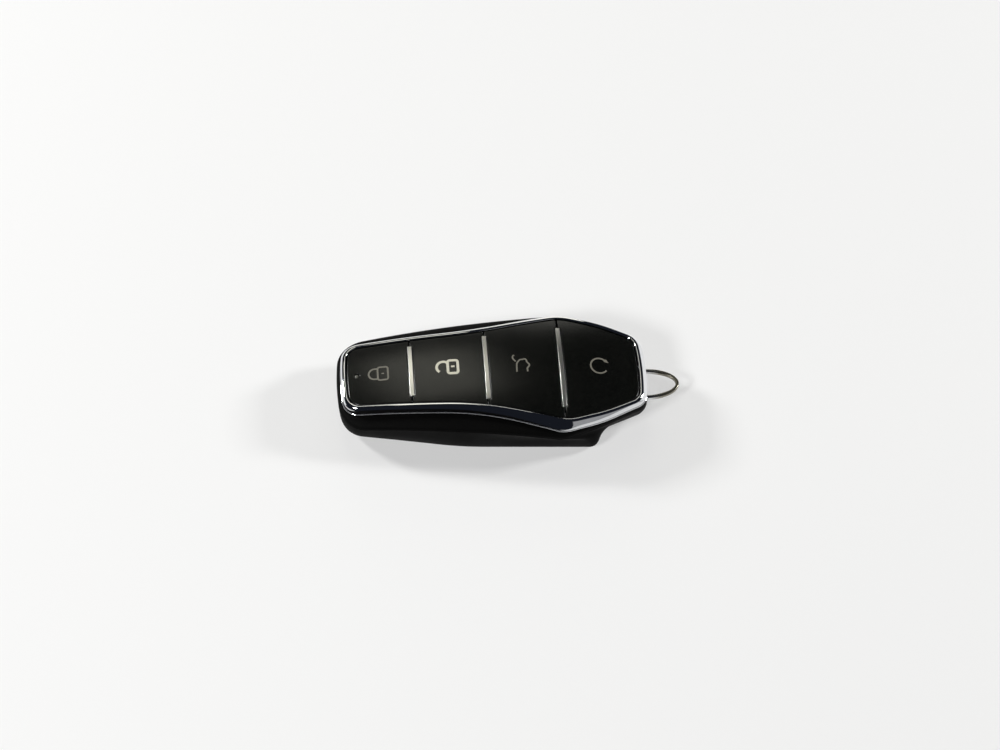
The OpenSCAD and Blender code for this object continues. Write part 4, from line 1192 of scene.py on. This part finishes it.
def make_screws():
    low, top, shank_r, head_r, head_h = BOARD_TOP - SCREW_LEN, BOARD_TOP, 0.8, 1.3, 0.8
    shell = Shell().turned(SHIFT, 0, [
        (0, low), (0.35, low), (shank_r, low + 0.6), (shank_r, top), (head_r, top), (head_r, top + 0.42),
        (1.18, top + 0.62), (0.9, top + 0.76), (0.5, top + head_h), (0, top + head_h)], 32)
    arms, bottom, above = ((0.75, 0.14), (0.14, 0.75)), top + head_h / 2, top + 1.2
    cross = [Shell().block(SHIFT - a, SHIFT + a, -b, b, bottom, above) for a, b in arms]
    one = carve(new_object("one_screw", mesh_of("one_screw", shell)), cross)
    one.data.shade_smooth()
    spots = bpy.data.meshes.new("screw_spots")
    places = [(x, s * y) for x, y in SCREW_AT for s in (-1, 1)]
    spots.from_pydata([((x - SHIFT) * MM, y * MM, 0) for x, y in places], [], [])
    screws = run_tree("cross_screws", spots, REPEAT_TREE, {"Part": one, "Finish": STEEL})
    bpy.data.objects.remove(one)
    finish_piece(screws, "case", STEEL, ["board_screws"], 40)


make_chrome_frame()
make_front_shell()
make_rear_shell()
make_back_panel()
make_rim_ring()
for i, word in enumerate(WORDS):
    make_key(i, word)
for i in range(3):
    make_divider(i)
make_symbols()
make_light_pipe()
make_key_grip()
make_release()
make_mat()
make_receiver()
make_screws()


# Floor and lights in metres, and the camera's place in millimetres with its turn in degrees
FLOOR_GLOW = 0.4
FLOOR_HALF = 3
LIGHTS_AIM = (0, 0, 0.01)
CAMERA_AT = (-10.761, -340.365, 534.591)
CAMERA_TURN = (33.21, -2.888, -4.111)
CAMERA_LENS = 91.504


def make_floor():
    mesh = bpy.data.meshes.new("floor")
    h = FLOOR_HALF
    mesh.from_pydata([(-h, -h, 0), (h, -h, 0), (h, h, 0), (-h, h, 0)], [], [(0, 1, 2, 3)])
    floor = new_object("floor", mesh)
    material = bpy.data.materials.new("pale floor")
    material.use_nodes = True
    tree = material.node_tree
    tree.nodes.clear()
    matt = add(tree, "ShaderNodeBsdfDiffuse", Color=(0.86, 0.86, 0.85, 1))
    glow = add(tree, "ShaderNodeEmission", Color=(1, 1, 1, 1), Strength=1.0)
    path = add(tree, "ShaderNodeLightPath")
    seen = math(tree, "MAXIMUM", path.outputs["Is Camera Ray"], path.outputs["Is Glossy Ray"])
    seen = math(tree, "MAXIMUM", seen, path.outputs["Is Transmission Ray"])
    share = math(tree, "MULTIPLY", seen, FLOOR_GLOW)
    both = add(tree, "ShaderNodeMixShader", i0=share, i1=matt.outputs[0], i2=glow.outputs[0])
    add(tree, "ShaderNodeOutputMaterial", Surface=both.outputs[0])
    mesh.materials.append(material)


def make_lamp(name, place, size, power, tint=(1, 1, 1)):
    light = bpy.data.lights.new(name, "AREA")
    light.shape = "RECTANGLE"
    light.size, light.size_y = size
    light.energy = power
    light.color = tint
    lamp = bpy.data.objects.new(name, light)
    bpy.context.scene.collection.objects.link(lamp)
    lamp.location = place
    lamp.rotation_euler = (Vector(LIGHTS_AIM) - Vector(place)).to_track_quat("-Z", "Y").to_euler()


make_floor()
make_lamp("softbox behind", (-0.075, 0.4, 0.69), (0.23, 0.34), 0.35, (1, 0.985, 0.86))
make_lamp("low panel behind", (-0.02, 0.72, 0.28), (0.5, 0.36), 0.72, (1, 0.985, 0.9))
make_lamp("lamp left", (-0.8, 0.45, 0.5), (0.15, 0.2), 7)
make_lamp("lamp right", (0.9, 0.15, 0.5), (0.15, 0.2), 6)
make_lamp("lamp front left", (-0.6, -0.5, 0.65), (0.2, 0.2), 5)
make_lamp("panel front right", (0.63, -0.7, 0.21), (0.75, 0.35), 0.26)

world = bpy.data.worlds.new("studio")
bpy.context.scene.world = world
world.use_nodes = True
background = world.node_tree.nodes["Background"].inputs
background["Color"].default_value = (0.6, 0.7, 1.0, 1)
background["Strength"].default_value = 0.016

camera = bpy.data.cameras.new("camera")
camera.lens = CAMERA_LENS
camera.sensor_width = 36.0
camera_object = bpy.data.objects.new("camera", camera)
bpy.context.scene.collection.objects.link(camera_object)
camera_object.location = ((CAMERA_AT[0] - SHIFT) * MM, CAMERA_AT[1] * MM, CAMERA_AT[2] * MM)
camera_object.rotation_euler = [radians(angle) for angle in CAMERA_TURN]
bpy.context.scene.camera = camera_object
bpy.context.scene.view_settings.view_transform = "Standard"
